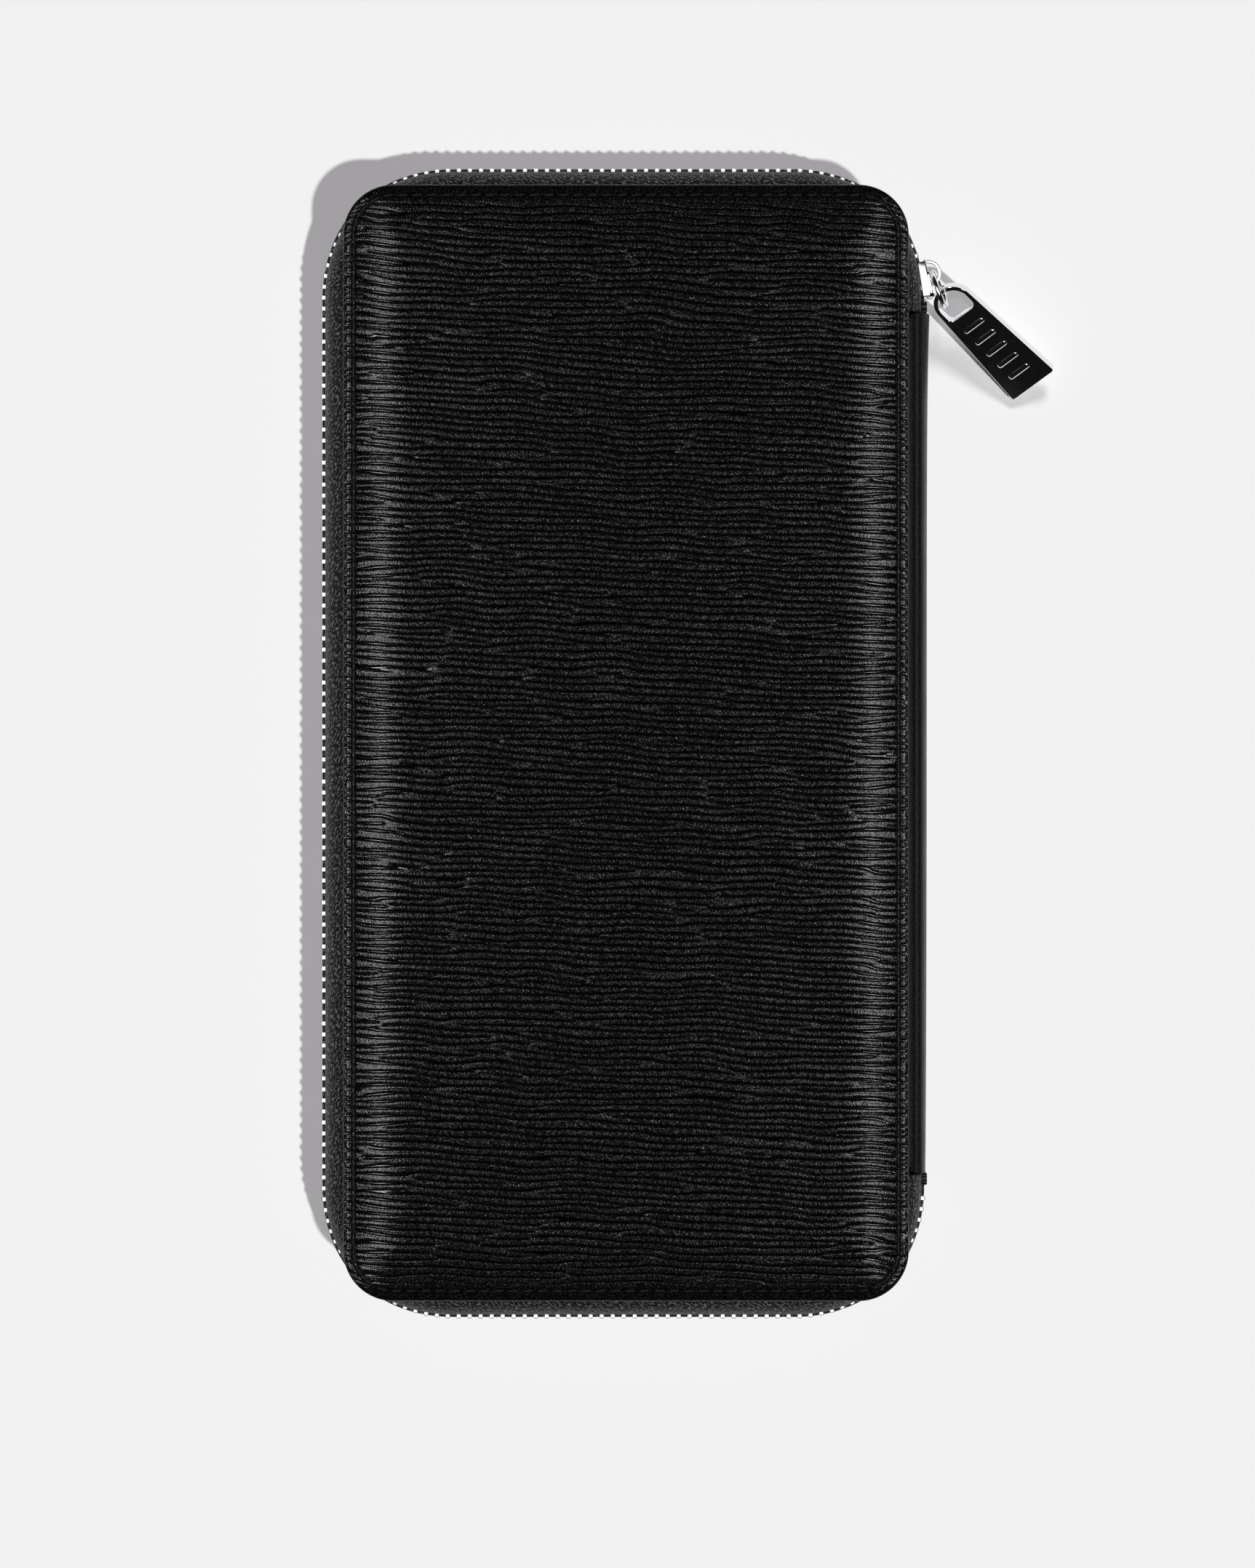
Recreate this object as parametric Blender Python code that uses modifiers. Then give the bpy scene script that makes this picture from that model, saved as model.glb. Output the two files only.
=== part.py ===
"""Travel document organizer: a zip-around leather case with pockets inside.

The origin is the centre of the back cover's flat outside face, on the surface that the case lies on.
+X points to the spine, +Y along the spine to the zip's closed end, and +Z out of the front cover.
Everything on the back half is built at its own height, and the front half is the same, mirrored in height.
"""

import math

import bmesh
import bpy
from mathutils import Matrix, Vector

MM = 0.001
GAP = 0.3 * MM  # between neighbours that touch on the real case

# The whole case
THICKNESS = 24 * MM
MIDDLE = THICKNESS / 2

# Covers
COVER_HALF_X = 56.2 * MM
COVER_HALF_Y = 111 * MM
COVER_CORNER = 10 * MM
LEATHER = 1.2 * MM
BORDER_DROP = 1.0 * MM  # how far the stitched border lies below the crown
BORDER_INSET = 2.6 * MM
CROWN_INSET = 11 * MM
COVER_OUTSIDE = (  # the outside face's section, as insets from the edge and depths below the crown
    (CROWN_INSET, 0),
    (7.5 * MM, 0.18 * MM),
    (5 * MM, 0.52 * MM),
    (BORDER_INSET, BORDER_DROP),
    (0.5 * MM, BORDER_DROP + 0.1 * MM),
    (0, BORDER_DROP + 0.45 * MM),
)
COVER_INSIDE = (  # the inside face's section, from the edge back to the crown
    (0, BORDER_DROP + LEATHER - 0.3 * MM),
    (0.3 * MM, BORDER_DROP + LEATHER),
    (BORDER_INSET + 1 * MM, BORDER_DROP + LEATHER),
    (CROWN_INSET, LEATHER),
)
SMALLEST_CORNER = 1 * MM

# Boards, linings and the zip tape's seam, as heights above the outside face and insets from the cover's edge
BOARD_HEIGHTS = (1.5 * MM, 2.6 * MM, 3.0 * MM)
BOARD_INSET = 4.4 * MM
LINING_INSET = 3.2 * MM
LINING_HEIGHT = 3.35 * MM
LINING_THICKNESS = 0.6 * MM
INSIDE = LINING_HEIGHT + LINING_THICKNESS
SEAM_INSET = 3.6 * MM
SEAM_HEIGHT = 2.75 * MM
TAPE_THICKNESS = 0.5 * MM

# The line that the zip's chain follows round the case
ZIP_LEFT = -60.7 * MM
ZIP_RIGHT = 59.6 * MM
ZIP_HALF_Y = 114.8 * MM
ZIP_CORNER = 26 * MM
ZIP_CENTRE_X = ZIP_RIGHT - ZIP_CORNER
ZIP_CENTRE_Y = ZIP_HALF_Y - ZIP_CORNER
TAPE_TOP = 8.7 * MM
TEETH_LOW = 9.0 * MM
TEETH_HIGH = 11.4 * MM
TEETH_HALF_THICKNESS = 0.65 * MM
TEETH_START = math.radians(1.2)  # where the chain starts on the spine-side corners
LOOSE_END = math.radians(45)  # the front tape is free of the front cover up to here
LOOSE_GAP = math.radians(0.7)
TAB_EDGE = 0.2 * MM

# Spine
SPINE_HALF_Y = 85.7 * MM
SPINE_ROOT_X = 57.0 * MM
SPINE_BULGE_X = 60.3 * MM
SPINE_LEATHER = 0.9 * MM
SPINE_LOW = 2.7 * MM
SPINE_LINING = 0.6 * MM
SPINE_LINING_LOW = 4.8 * MM
SPINE_LINING_SHORTER = 2 * MM  # at each end
FOLD_X = 56.7 * MM
FOLD_Z = 2.5 * MM

# Main slider, in its own directions: along the chain, outwards and up
SLIDER_ANGLE = math.radians(9)
SLIDER_HALF_LENGTH = 3.8 * MM
SLIDER_HALF_HEIGHT = 4.1 * MM
SLIDER_OUTER = (0.9 * MM, 1.7 * MM)
SLIDER_INNER = (-1.9 * MM, -1.2 * MM)
SLIDER_WEB = 0.6 * MM
FLANGE = 0.7 * MM
FLANGE_OUT = 0.6 * MM
FLANGE_IN = -0.85 * MM
BRIDGE_AT = 1.2 * MM
BRIDGE_HALF_LENGTH = 2.6 * MM
BRIDGE_BAR = 0.7 * MM
BRIDGE_CLEAR = 1.75 * MM
BRIDGE_WIDTH = 1.2 * MM
BRIDGE_FOOT = 0.3 * MM  # how far its feet sink into the plate

# Ring and puller
RING_RADIUS = 3.8 * MM
RING_WIRE = 0.5 * MM
RING_SWING = math.radians(10.8)
RING_TILT = math.radians(10)
RING_SEGMENTS = 28
RING_SIDES = 8
PULLER_TOP = Vector((63.05, 91.15, 12.8)) * MM
PULLER_HEADING = math.radians(-43.5)
PULLER_SLOPE = math.radians(19)
PULLER_ROLL = math.radians(30)
PULLER_LENGTH = 28.2 * MM
PULLER_HALF_TOP = 4.1 * MM
PULLER_HALF_END = 5.5 * MM
PULLER_ARCH = 4.2 * MM
PULLER_THICKNESS = 2.0 * MM
EYE_FROM = 1.0 * MM
EYE_TO = 7.0 * MM
EYE_HALF = 3.3 * MM
EYE_CORNER = 1.2 * MM
PULLER_EDGE = 0.15 * MM

# Pockets inside the back half
POCKET_SHEET = 0.7 * MM
POCKET_CORNER = 3 * MM
PASSPORT_NARROWER = 2 * MM  # on each side
BOARDING_Y = (-106 * MM, 60 * MM)
PASSPORT_Y = (-104 * MM, -30 * MM)
POCKET_X = (-51 * MM, 42 * MM)
PEN_X = 48.6 * MM
PEN_RADIUS = 4.9 * MM
PEN_SHEET = 0.6 * MM
PEN_HALF_LENGTH = 16 * MM

# Card slots inside the front half
CARD_SLOTS = 6
CARD_STEP = 11 * MM
CARD_TOP = 98 * MM
CARD_HEIGHT = 41 * MM
CARD_HALF_X = 47 * MM
CARD_SHEET = 0.5 * MM
CARD_CORNER = 1.5 * MM

# Coin pocket inside the front half, measured as depth from the front lining
COIN_ZIP_Y = -14 * MM
COIN_DEPTH = 2.4 * MM
COIN_HALF_X = 46 * MM
COIN_PANEL_Y = (-98 * MM, -18 * MM)
COIN_PANEL_HALF_X = 50 * MM
COIN_PANEL_SHEET = 0.5 * MM
COIN_PANEL_OVER = 0.85 * MM  # how far the panel stands out past the zip's plane
COIN_PANEL_SLOPES = ((0, 0), (2 * MM, 0.5), (4 * MM, 1))  # in from the edge, and share of its depth
COIN_TEETH = (0.35 * MM, 1.05 * MM)  # from the zip's line, to each side
COIN_TEETH_HALF_THICKNESS = 0.5 * MM
COIN_TAPE = 0.4 * MM
COIN_TAPE_GAP = 0.25 * MM
COIN_TAPE_FLAT = 2.4 * MM
COIN_TAPE_SLOPE_END = 5 * MM
COIN_TAPE_UPPER = 7.6 * MM
COIN_TAPE_LOWER = 4.5 * MM
COIN_STOP_BEYOND = 1.2 * MM
COIN_STOP_HALF = Vector((0.8, 1.3, 0.6)) * MM
COIN_STOP_CORNER = 0.3 * MM
COIN_SLIDER_X = -38 * MM
COIN_SLIDER_HALF = Vector((3.6, 3.2, 0)) * MM
COIN_WEB = 0.3 * MM
COIN_PLATE = 0.6 * MM
COIN_BRIDGE_HALF_LENGTH = 2.4 * MM
COIN_BRIDGE_CLEAR = 1.5 * MM
COIN_BRIDGE_BAR = 0.6 * MM
COIN_BRIDGE_WIDTH = 1.2 * MM
COIN_PULLER_LENGTH = 9 * MM
COIN_PULLER_HALF_WIDTH = 2.2 * MM
COIN_PULLER_CORNER = 0.9 * MM
COIN_PULLER_HALF_THICKNESS = 0.3 * MM
COIN_PULLER_BAR = 0.5 * MM
COIN_EYE_HALF = Vector((1.55, 1.2, 0)) * MM
COIN_EYE_CORNER = 0.4 * MM

LEATHER_BLACK = ((0.012, 0.012, 0.013), 0.42, 0.0)
CLOTH_BLACK = ((0.018, 0.018, 0.02), 0.9, 0.0)
LINING_BLACK = ((0.02, 0.02, 0.022), 0.85, 0.0)
BOARD_GREY = ((0.25, 0.24, 0.22), 0.9, 0.0)
POLISHED_METAL = ((0.82, 0.82, 0.84), 0.14, 1.0)


# ---------------------------------------------------------------- scene and materials


def clear_scene():
    for thing in list(bpy.data.objects):
        bpy.data.objects.remove(thing, do_unlink=True)


def new_collection(name):
    collection = bpy.data.collections.new(name)
    bpy.context.scene.collection.children.link(collection)
    return collection


def new_material(name, look):
    colour, roughness, metallic = look
    material = bpy.data.materials.new(name)
    material.use_nodes = True
    shader = material.node_tree.nodes["Principled BSDF"]
    shader.inputs["Base Color"].default_value = (*colour, 1)
    shader.inputs["Roughness"].default_value = roughness
    shader.inputs["Metallic"].default_value = metallic
    return material


def new_pivot(name, location):
    """An empty on a joint's axis, which the body's pieces hang from."""
    pivot = bpy.data.objects.new(name, None)
    pivot.empty_display_size = 5 * MM
    pivot.location = location
    PARTS.objects.link(pivot)
    return pivot


def new_part(name, bm, look, pivot=None, smooth_angle=None):
    """Turns a bmesh in world coordinates into a named object, hung from its pivot."""
    bmesh.ops.recalc_face_normals(bm, faces=bm.faces[:])
    mesh = bpy.data.meshes.new(name)
    bm.to_mesh(mesh)
    bm.free()
    if pivot:
        mesh.transform(Matrix.Translation(-pivot.location))
    if smooth_angle:
        mesh.shade_smooth()
        mesh.set_sharp_from_angle(angle=smooth_angle)
    mesh.materials.append(new_material(name, look))
    part = bpy.data.objects.new(name, mesh)
    part.parent = pivot
    PARTS.objects.link(part)
    return part


# ---------------------------------------------------------------- shapes


def half_height(front):
    """The height rule of one half: as it is on the back, mirrored in the middle on the front."""
    return (lambda z: THICKNESS - z) if front else (lambda z: z)


def rounded_outline(half_x, half_y, radius, steps=6, centre=(0, 0)):
    """Points of a rectangle with round corners, anticlockwise."""
    points = []
    for corner, (sx, sy) in enumerate(((1, 1), (-1, 1), (-1, -1), (1, -1))):
        for step in range(steps + 1):
            angle = math.radians(90) * (corner + step / steps)
            x = centre[0] + sx * (half_x - radius) + radius * math.cos(angle)
            y = centre[1] + sy * (half_y - radius) + radius * math.sin(angle)
            points.append((x, y))
    return points


def slab(outline, low, high):
    """A flat outline, extruded from one height to another."""
    bm = bmesh.new()
    face = bm.faces.new([bm.verts.new((x, y, low)) for x, y in outline])
    grown = bmesh.ops.extrude_face_region(bm, geom=[face])["geom"]
    lifted = [v for v in grown if isinstance(v, bmesh.types.BMVert)]
    bmesh.ops.translate(bm, verts=lifted, vec=(0, 0, high - low))
    return bm


def loft(rings):
    """A closed body through rings of equal length, with flat caps on the first and the last."""
    bm = bmesh.new()
    rows = [[bm.verts.new(point) for point in ring] for ring in rings]
    for lower, upper in zip(rows, rows[1:]):
        for k in range(len(lower)):
            after = (k + 1) % len(lower)
            bm.faces.new((lower[k], lower[after], upper[after], upper[k]))
    bm.faces.new(rows[0])
    bm.faces.new(rows[-1])
    return bm


def sheet(rows):
    """An open sheet through rows of points, for Solidify to thicken."""
    bm = bmesh.new()
    grid = [[bm.verts.new(point) for point in row] for row in rows]
    for lower, upper in zip(grid, grid[1:]):
        for k in range(len(lower) - 1):
            bm.faces.new((lower[k], lower[k + 1], upper[k + 1], upper[k]))
    return bm


def thicken(part, thickness):
    solidify = part.modifiers.new("thickness", "SOLIDIFY")
    solidify.thickness = thickness
    solidify.offset = 0
    return part


def round_edges(part, width, segments=2):
    bevel = part.modifiers.new("round edges", "BEVEL")
    bevel.width = width
    bevel.segments = segments
    bevel.limit_method = "ANGLE"
    bevel.angle_limit = math.radians(50)
    return part


def extruded_section(section, half_length, place):
    """A closed section of (u, v) points, extruded both ways along the third axis and placed."""
    bm = loft([[(u, v, end * half_length) for u, v in section] for end in (-1, 1)])
    bm.transform(place)
    return bm


# ---------------------------------------------------------------- the zip's path


def distance_to_outline(x, y, inset):
    """How far a point lies outside the cover's outline, moved inwards by an inset."""
    radius = COVER_CORNER - inset
    over_x = max(abs(x) - (COVER_HALF_X - COVER_CORNER), 0)
    over_y = max(abs(y) - (COVER_HALF_Y - COVER_CORNER), 0)
    return math.hypot(over_x, over_y) - radius


def seam_below(point, outwards, inset):
    """Where a line straight in from the chain meets the tape's seam."""
    x, y = point
    for _ in range(60):
        step = distance_to_outline(x, y, inset)
        x -= outwards[0] * step
        y -= outwards[1] * step
    return x, y


def corner_stations(centre_x, centre_y, start, end, steps):
    """Stations round one corner: each is a point of the chain and its outward direction."""
    stations = []
    for step in range(steps + 1):
        angle = start + (end - start) * step / steps
        out = (math.cos(angle), math.sin(angle))
        stations.append(((centre_x + ZIP_CORNER * out[0], centre_y + ZIP_CORNER * out[1]), out))
    return stations


def zip_stations(from_angle, steps=9):
    """Stations round the three open sides, from an angle on the upper spine-side corner to its mirror."""
    quarter = math.radians(90)
    left = ZIP_LEFT + ZIP_CORNER
    upper = corner_stations(ZIP_CENTRE_X, ZIP_CENTRE_Y, from_angle, quarter, steps)
    upper += corner_stations(left, ZIP_CENTRE_Y, quarter, 2 * quarter, steps)
    lower = [((x, -y), (out_x, -out_y)) for (x, y), (out_x, out_y) in reversed(upper)]
    return upper + lower


def spine_end_stations(side, steps=5):
    """Stations from the end of the spine to where the front tape joins its cover."""
    stations = [((ZIP_RIGHT, SPINE_HALF_Y + GAP), (1, 0))]
    stations += corner_stations(ZIP_CENTRE_X, ZIP_CENTRE_Y, 0, LOOSE_END, steps)
    return [((x, side * y), (out_x, side * out_y)) for (x, y), (out_x, out_y) in stations]


def tape_rows(stations, height, steps=5):
    """The tape's surface: flat out of its seam, then curving up to the chain."""
    rows = []
    for point, out in stations:
        seam = seam_below(point, out, SEAM_INSET)
        row = []
        for step in range(steps + 1):
            share = step / steps
            reach = 1 - (1 - share) ** 2
            x = seam[0] + (point[0] - seam[0]) * reach
            y = seam[1] + (point[1] - seam[1]) * reach
            row.append((x, y, height(SEAM_HEIGHT + (TAPE_TOP - SEAM_HEIGHT) * share**2)))
        rows.append(row)
    return rows


def band(stations, low, high, inner, outer):
    """A strip of rectangular section along the stations."""
    rings = []
    for (x, y), out in stations:
        near = (x + out[0] * inner, y + out[1] * inner)
        far = (x + out[0] * outer, y + out[1] * outer)
        rings.append([(*near, low), (*far, low), (*far, high), (*near, high)])
    return loft(rings)


# ---------------------------------------------------------------- covers


def cover_rings(height):
    """Rings from the middle of the outside face, round the edge, to the middle of the inside face."""
    rings = []
    for inset, z in COVER_OUTSIDE + COVER_INSIDE:
        radius = max(COVER_CORNER - inset, SMALLEST_CORNER)
        outline = rounded_outline(COVER_HALF_X - inset, COVER_HALF_Y - inset, radius)
        rings.append([(x, y, height(z)) for x, y in outline])
    return rings


def make_cover(name, front, pivot):
    new_part(name, loft(cover_rings(half_height(front))), LEATHER_BLACK, pivot, math.radians(40))


def make_board(name, front, pivot):
    """A stiffener that fills the crown's hollow, with sloped edges."""
    height = half_height(front)
    rings = []
    for inset, z in zip((CROWN_INSET, BOARD_INSET, BOARD_INSET), BOARD_HEIGHTS):
        radius = max(COVER_CORNER - inset, SMALLEST_CORNER)
        outline = rounded_outline(COVER_HALF_X - inset, COVER_HALF_Y - inset, radius)
        rings.append([(x, y, height(z)) for x, y in outline])
    new_part(name, loft(rings), BOARD_GREY, pivot)


def make_lining(name, front, pivot):
    height = half_height(front)
    inset = LINING_INSET
    outline = rounded_outline(COVER_HALF_X - inset, COVER_HALF_Y - inset, COVER_CORNER - inset)
    new_part(name, slab(outline, height(LINING_HEIGHT), height(INSIDE)), LINING_BLACK, pivot)


# ---------------------------------------------------------------- zip


def make_tape(name, stations, front, pivot):
    rows = tape_rows(stations, half_height(front))
    thicken(new_part(name, sheet(rows), CLOTH_BLACK, pivot, math.radians(40)), TAPE_THICKNESS)


def make_teeth(name, stations, front, pivot):
    height = half_height(front)
    low, high = height(TEETH_LOW), height(TEETH_HIGH)
    row = band(stations, low, high, -TEETH_HALF_THICKNESS, TEETH_HALF_THICKNESS)
    new_part(name, row, POLISHED_METAL, pivot, math.radians(40))


def make_end_tab(name, side):
    """The sewn cloth tab that joins the two tapes at the end of the chain, just past the spine."""
    start = SPINE_HALF_Y + GAP
    end = ZIP_CENTRE_Y - GAP
    stations = [((ZIP_RIGHT, side * y), (1, 0)) for y in (start, end)]
    tab = band(stations, TEETH_LOW, THICKNESS - TEETH_LOW, -TEETH_HALF_THICKNESS, TEETH_HALF_THICKNESS)
    round_edges(new_part(name, tab, CLOTH_BLACK), TAB_EDGE)


def slider_matrix():
    """Along the chain is local X, outwards is local Y and down is local Z, from the chain's middle."""
    out = Vector((math.cos(SLIDER_ANGLE), math.sin(SLIDER_ANGLE), 0))
    along = Vector((-math.sin(SLIDER_ANGLE), math.cos(SLIDER_ANGLE), 0))
    centre = Vector((ZIP_CENTRE_X, ZIP_CENTRE_Y, MIDDLE)) + out * ZIP_CORNER
    turn = Matrix((along, out, along.cross(out))).transposed()
    return Matrix.Translation(centre) @ turn.to_4x4()


def slider_section():
    """Two plates joined by a web, with lips that hold the two rows: (up, outwards) points."""
    half = SLIDER_HALF_HEIGHT
    web = SLIDER_WEB / 2
    outer_low, outer_high = SLIDER_OUTER
    inner_low, inner_high = SLIDER_INNER
    quarter = [
        (web, outer_low),
        (half - FLANGE, outer_low),
        (half - FLANGE, FLANGE_OUT),
        (half, FLANGE_OUT),
        (half, outer_high),
    ]
    inner = [
        (half, inner_low),
        (half, FLANGE_IN),
        (half - FLANGE, FLANGE_IN),
        (half - FLANGE, inner_high),
        (web, inner_high),
    ]
    right = inner + quarter
    left = [(-u, v) for u, v in reversed(right)]
    return right + left


def bridge_section(centre, half_length, base, clear, bar, steps=10):
    """An arch with its feet on a plate: (along, outwards) points."""
    outer, inner = [], []
    for step in range(steps + 1):
        angle = math.pi * step / steps
        outer.append((half_length * math.cos(angle), (clear + bar) * math.sin(angle)))
        inner.append(((half_length - bar) * math.cos(angle), clear * math.sin(angle)))
    foot = -BRIDGE_FOOT
    points = [(outer[0][0], foot)] + outer + [(outer[-1][0], foot)]
    points += [(inner[-1][0], foot)] + inner[::-1] + [(inner[0][0], foot)]
    return [(centre + along, base + out) for along, out in points]


def join_with(part, other):
    """Joins another closed body to the part and hides the original as a cutter."""
    for old in other.users_collection:
        old.objects.unlink(other)
    CUTTERS.objects.link(other)
    other.hide_render = True
    other.display_type = "WIRE"
    union = part.modifiers.new("union", "BOOLEAN")
    union.operation = "UNION"
    union.solver = "EXACT"
    union.object = other
    return part


def make_slider(pivot):
    place = slider_matrix()
    # The section's (up, outwards) lie on local Z and Y, and its length on local X.
    turn = Matrix(((0, 0, 1, 0), (0, 1, 0, 0), (1, 0, 0, 0), (0, 0, 0, 1)))
    body = extruded_section(slider_section(), SLIDER_HALF_LENGTH, place @ turn)
    slider = new_part("slider_body", body, POLISHED_METAL, pivot, math.radians(30))
    section = bridge_section(
        BRIDGE_AT, BRIDGE_HALF_LENGTH, SLIDER_OUTER[1], BRIDGE_CLEAR, BRIDGE_BAR
    )
    bridge = extruded_section(section, BRIDGE_WIDTH / 2, place)
    join_with(slider, new_part("slider_bridge_shape", bridge, POLISHED_METAL, pivot))


def ring_hang_point():
    return slider_matrix() @ Vector((BRIDGE_AT, SLIDER_OUTER[1] + BRIDGE_CLEAR / 2, 0))


def make_ring(pivot):
    """A wire ring through the slider's bridge, hanging towards the spine and leaning inwards at its top."""
    out = SLIDER_ANGLE - math.radians(90) + RING_SWING
    hang = Vector((math.cos(out), math.sin(out), 0))
    lean = Vector((-hang.y, hang.x, 0))
    up = Vector((0, 0, math.cos(RING_TILT))) - lean * math.sin(RING_TILT)
    centre = ring_hang_point() + hang * RING_RADIUS
    axis = hang.cross(up)
    bm = bmesh.new()
    rows = []
    for k in range(RING_SEGMENTS):
        turn = 2 * math.pi * k / RING_SEGMENTS
        spoke = hang * math.cos(turn) + up * math.sin(turn)
        row = []
        for side in range(RING_SIDES):
            angle = 2 * math.pi * side / RING_SIDES
            offset = spoke * math.cos(angle) + axis * math.sin(angle)
            row.append(bm.verts.new(centre + spoke * RING_RADIUS + offset * RING_WIRE))
        rows.append(row)
    for here, there in zip(rows, rows[1:] + rows[:1]):
        for side in range(RING_SIDES):
            after = (side + 1) % RING_SIDES
            bm.faces.new((here[side], here[after], there[after], there[side]))
    new_part("puller_ring", bm, POLISHED_METAL, pivot, math.radians(60))


def puller_matrix():
    """Across the puller is local X, from its end to its arch is local Y, and out of its face is local Z."""
    heading = Vector((math.cos(PULLER_HEADING), math.sin(PULLER_HEADING), 0))
    across_flat = Vector((-heading.y, heading.x, 0))
    up = Vector((0, 0, 1))
    along = heading * math.cos(PULLER_SLOPE) - up * math.sin(PULLER_SLOPE)
    raised = heading * math.sin(PULLER_SLOPE) + up * math.cos(PULLER_SLOPE)
    across = across_flat * math.cos(PULLER_ROLL) + raised * math.sin(PULLER_ROLL)
    turn = Matrix((across, -along, across.cross(-along))).transposed()
    return Matrix.Translation(PULLER_TOP) @ turn.to_4x4()


def puller_outline(steps=10):
    points = [(PULLER_HALF_END, -PULLER_LENGTH)]
    for step in range(steps + 1):
        angle = math.pi * step / steps
        y = -PULLER_ARCH * (1 - math.sin(angle))
        points.append((PULLER_HALF_TOP * math.cos(angle), y))
    points.append((-PULLER_HALF_END, -PULLER_LENGTH))
    return points


def eye_outline(steps=8):
    corner = EYE_CORNER
    arch = PULLER_ARCH - EYE_FROM
    points = []
    for step in range(4):
        angle = math.radians(-90 + 30 * step)
        x = EYE_HALF - corner + corner * math.cos(angle)
        points.append((x, -EYE_TO + corner + corner * math.sin(angle)))
    for step in range(steps + 1):
        angle = math.pi * step / steps
        points.append((EYE_HALF * math.cos(angle), -EYE_FROM - arch * (1 - math.sin(angle))))
    for step in range(4):
        angle = math.radians(180 + 30 * step)
        x = -EYE_HALF + corner + corner * math.cos(angle)
        points.append((x, -EYE_TO + corner + corner * math.sin(angle)))
    return points


def cut_with(part, other):
    join_with(part, other)
    part.modifiers[-1].name = "cut"
    part.modifiers[-1].operation = "DIFFERENCE"
    return part


def make_puller(pivot):
    place = puller_matrix()
    plate = extruded_section(puller_outline(), PULLER_THICKNESS / 2, place)
    puller = new_part("zip_puller", plate, POLISHED_METAL, pivot, math.radians(30))
    round_edges(puller, PULLER_EDGE, 1)
    eye = extruded_section(eye_outline(), PULLER_THICKNESS, place)
    cut_with(puller, new_part("puller_eye_shape", eye, POLISHED_METAL, pivot))


# ---------------------------------------------------------------- spine


def make_spine(pivot):
    """The strip between the covers, bulging outwards, and the flat lining inside it."""
    section = []
    steps = 10
    low, high = SPINE_LOW + SPINE_LEATHER / 2, THICKNESS - SPINE_LOW - SPINE_LEATHER / 2
    bulge = SPINE_BULGE_X - SPINE_LEATHER / 2 - SPINE_ROOT_X
    for step in range(steps + 1):
        angle = math.pi * (step / steps - 0.5)
        x = SPINE_ROOT_X + bulge * math.cos(angle) ** 0.5
        z = (low + high) / 2 + (high - low) / 2 * math.sin(angle)
        section.append((x, z))
    rows = [[(x, y, z) for x, z in section] for y in (-SPINE_HALF_Y, 0, SPINE_HALF_Y)]
    spine = new_part("spine_cover", sheet(rows), LEATHER_BLACK, pivot, math.radians(50))
    thicken(spine, SPINE_LEATHER)
    half_y = SPINE_HALF_Y - SPINE_LINING_SHORTER
    near, far = SPINE_ROOT_X, SPINE_ROOT_X + SPINE_LINING
    outline = [(near, -half_y), (far, -half_y), (far, half_y), (near, half_y)]
    lining = slab(outline, SPINE_LINING_LOW, THICKNESS - SPINE_LINING_LOW)
    new_part("spine_lining", lining, LINING_BLACK, pivot)


# ---------------------------------------------------------------- pockets


def make_pocket(name, x_range, y_range, low, pivot=None):
    centre = (sum(x_range) / 2, sum(y_range) / 2)
    half_x = (x_range[1] - x_range[0]) / 2
    half_y = (y_range[1] - y_range[0]) / 2
    outline = rounded_outline(half_x, half_y, POCKET_CORNER, 3, centre)
    new_part(name, slab(outline, low, low + POCKET_SHEET), LEATHER_BLACK, pivot)


def make_pen_loop():
    """A loop for a pen: an open tube that stands on the back lining."""
    centre_z = INSIDE + GAP + PEN_RADIUS + PEN_SHEET
    bm = bmesh.new()
    bmesh.ops.create_circle(bm, cap_ends=False, segments=20, radius=PEN_RADIUS + PEN_SHEET / 2)
    edges = bmesh.ops.extrude_edge_only(bm, edges=bm.edges[:])["geom"]
    lifted = [v for v in edges if isinstance(v, bmesh.types.BMVert)]
    bmesh.ops.translate(bm, verts=lifted, vec=(0, 0, 2 * PEN_HALF_LENGTH))
    turn = Matrix.Rotation(math.radians(90), 4, "X")
    bm.transform(Matrix.Translation((PEN_X, PEN_HALF_LENGTH, centre_z)) @ turn)
    thicken(new_part("pen_loop", bm, CLOTH_BLACK, None, math.radians(40)), PEN_SHEET)


def make_card_slots(pivot):
    for slot in range(CARD_SLOTS):
        top = CARD_TOP - slot * CARD_STEP
        outline = rounded_outline(CARD_HALF_X, CARD_HEIGHT / 2, CARD_CORNER, 2, (0, top - CARD_HEIGHT / 2))
        high = THICKNESS - INSIDE - GAP - slot * (CARD_SHEET + GAP)
        panel = slab(outline, high - CARD_SHEET, high)
        new_part(f"card_slot_{slot + 1}", panel, LEATHER_BLACK, pivot)


# ---------------------------------------------------------------- coin pocket


def coin_plane():
    return THICKNESS - INSIDE - COIN_DEPTH


def make_coin_panel(pivot):
    """A shallow tray, open along the zip and closed against the lining on its other three sides."""
    base = THICKNESS - INSIDE - GAP - COIN_PANEL_SHEET / 2
    depth = base - (coin_plane() - COIN_PANEL_OVER)
    low_y, high_y = COIN_PANEL_Y
    half = COIN_PANEL_HALF_X
    columns = [(-half + inset, share) for inset, share in COIN_PANEL_SLOPES]
    columns += [(-x, share) for x, share in reversed(columns)]
    stations = [(low_y + inset, share) for inset, share in COIN_PANEL_SLOPES] + [(high_y, 1)]
    rows = []
    for y, share in stations:
        rows.append([(x, y, base - depth * share * side) for x, side in columns])
    panel = new_part("coin_pocket_panel", sheet(rows), LEATHER_BLACK, pivot)
    thicken(panel, COIN_PANEL_SHEET)


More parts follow.
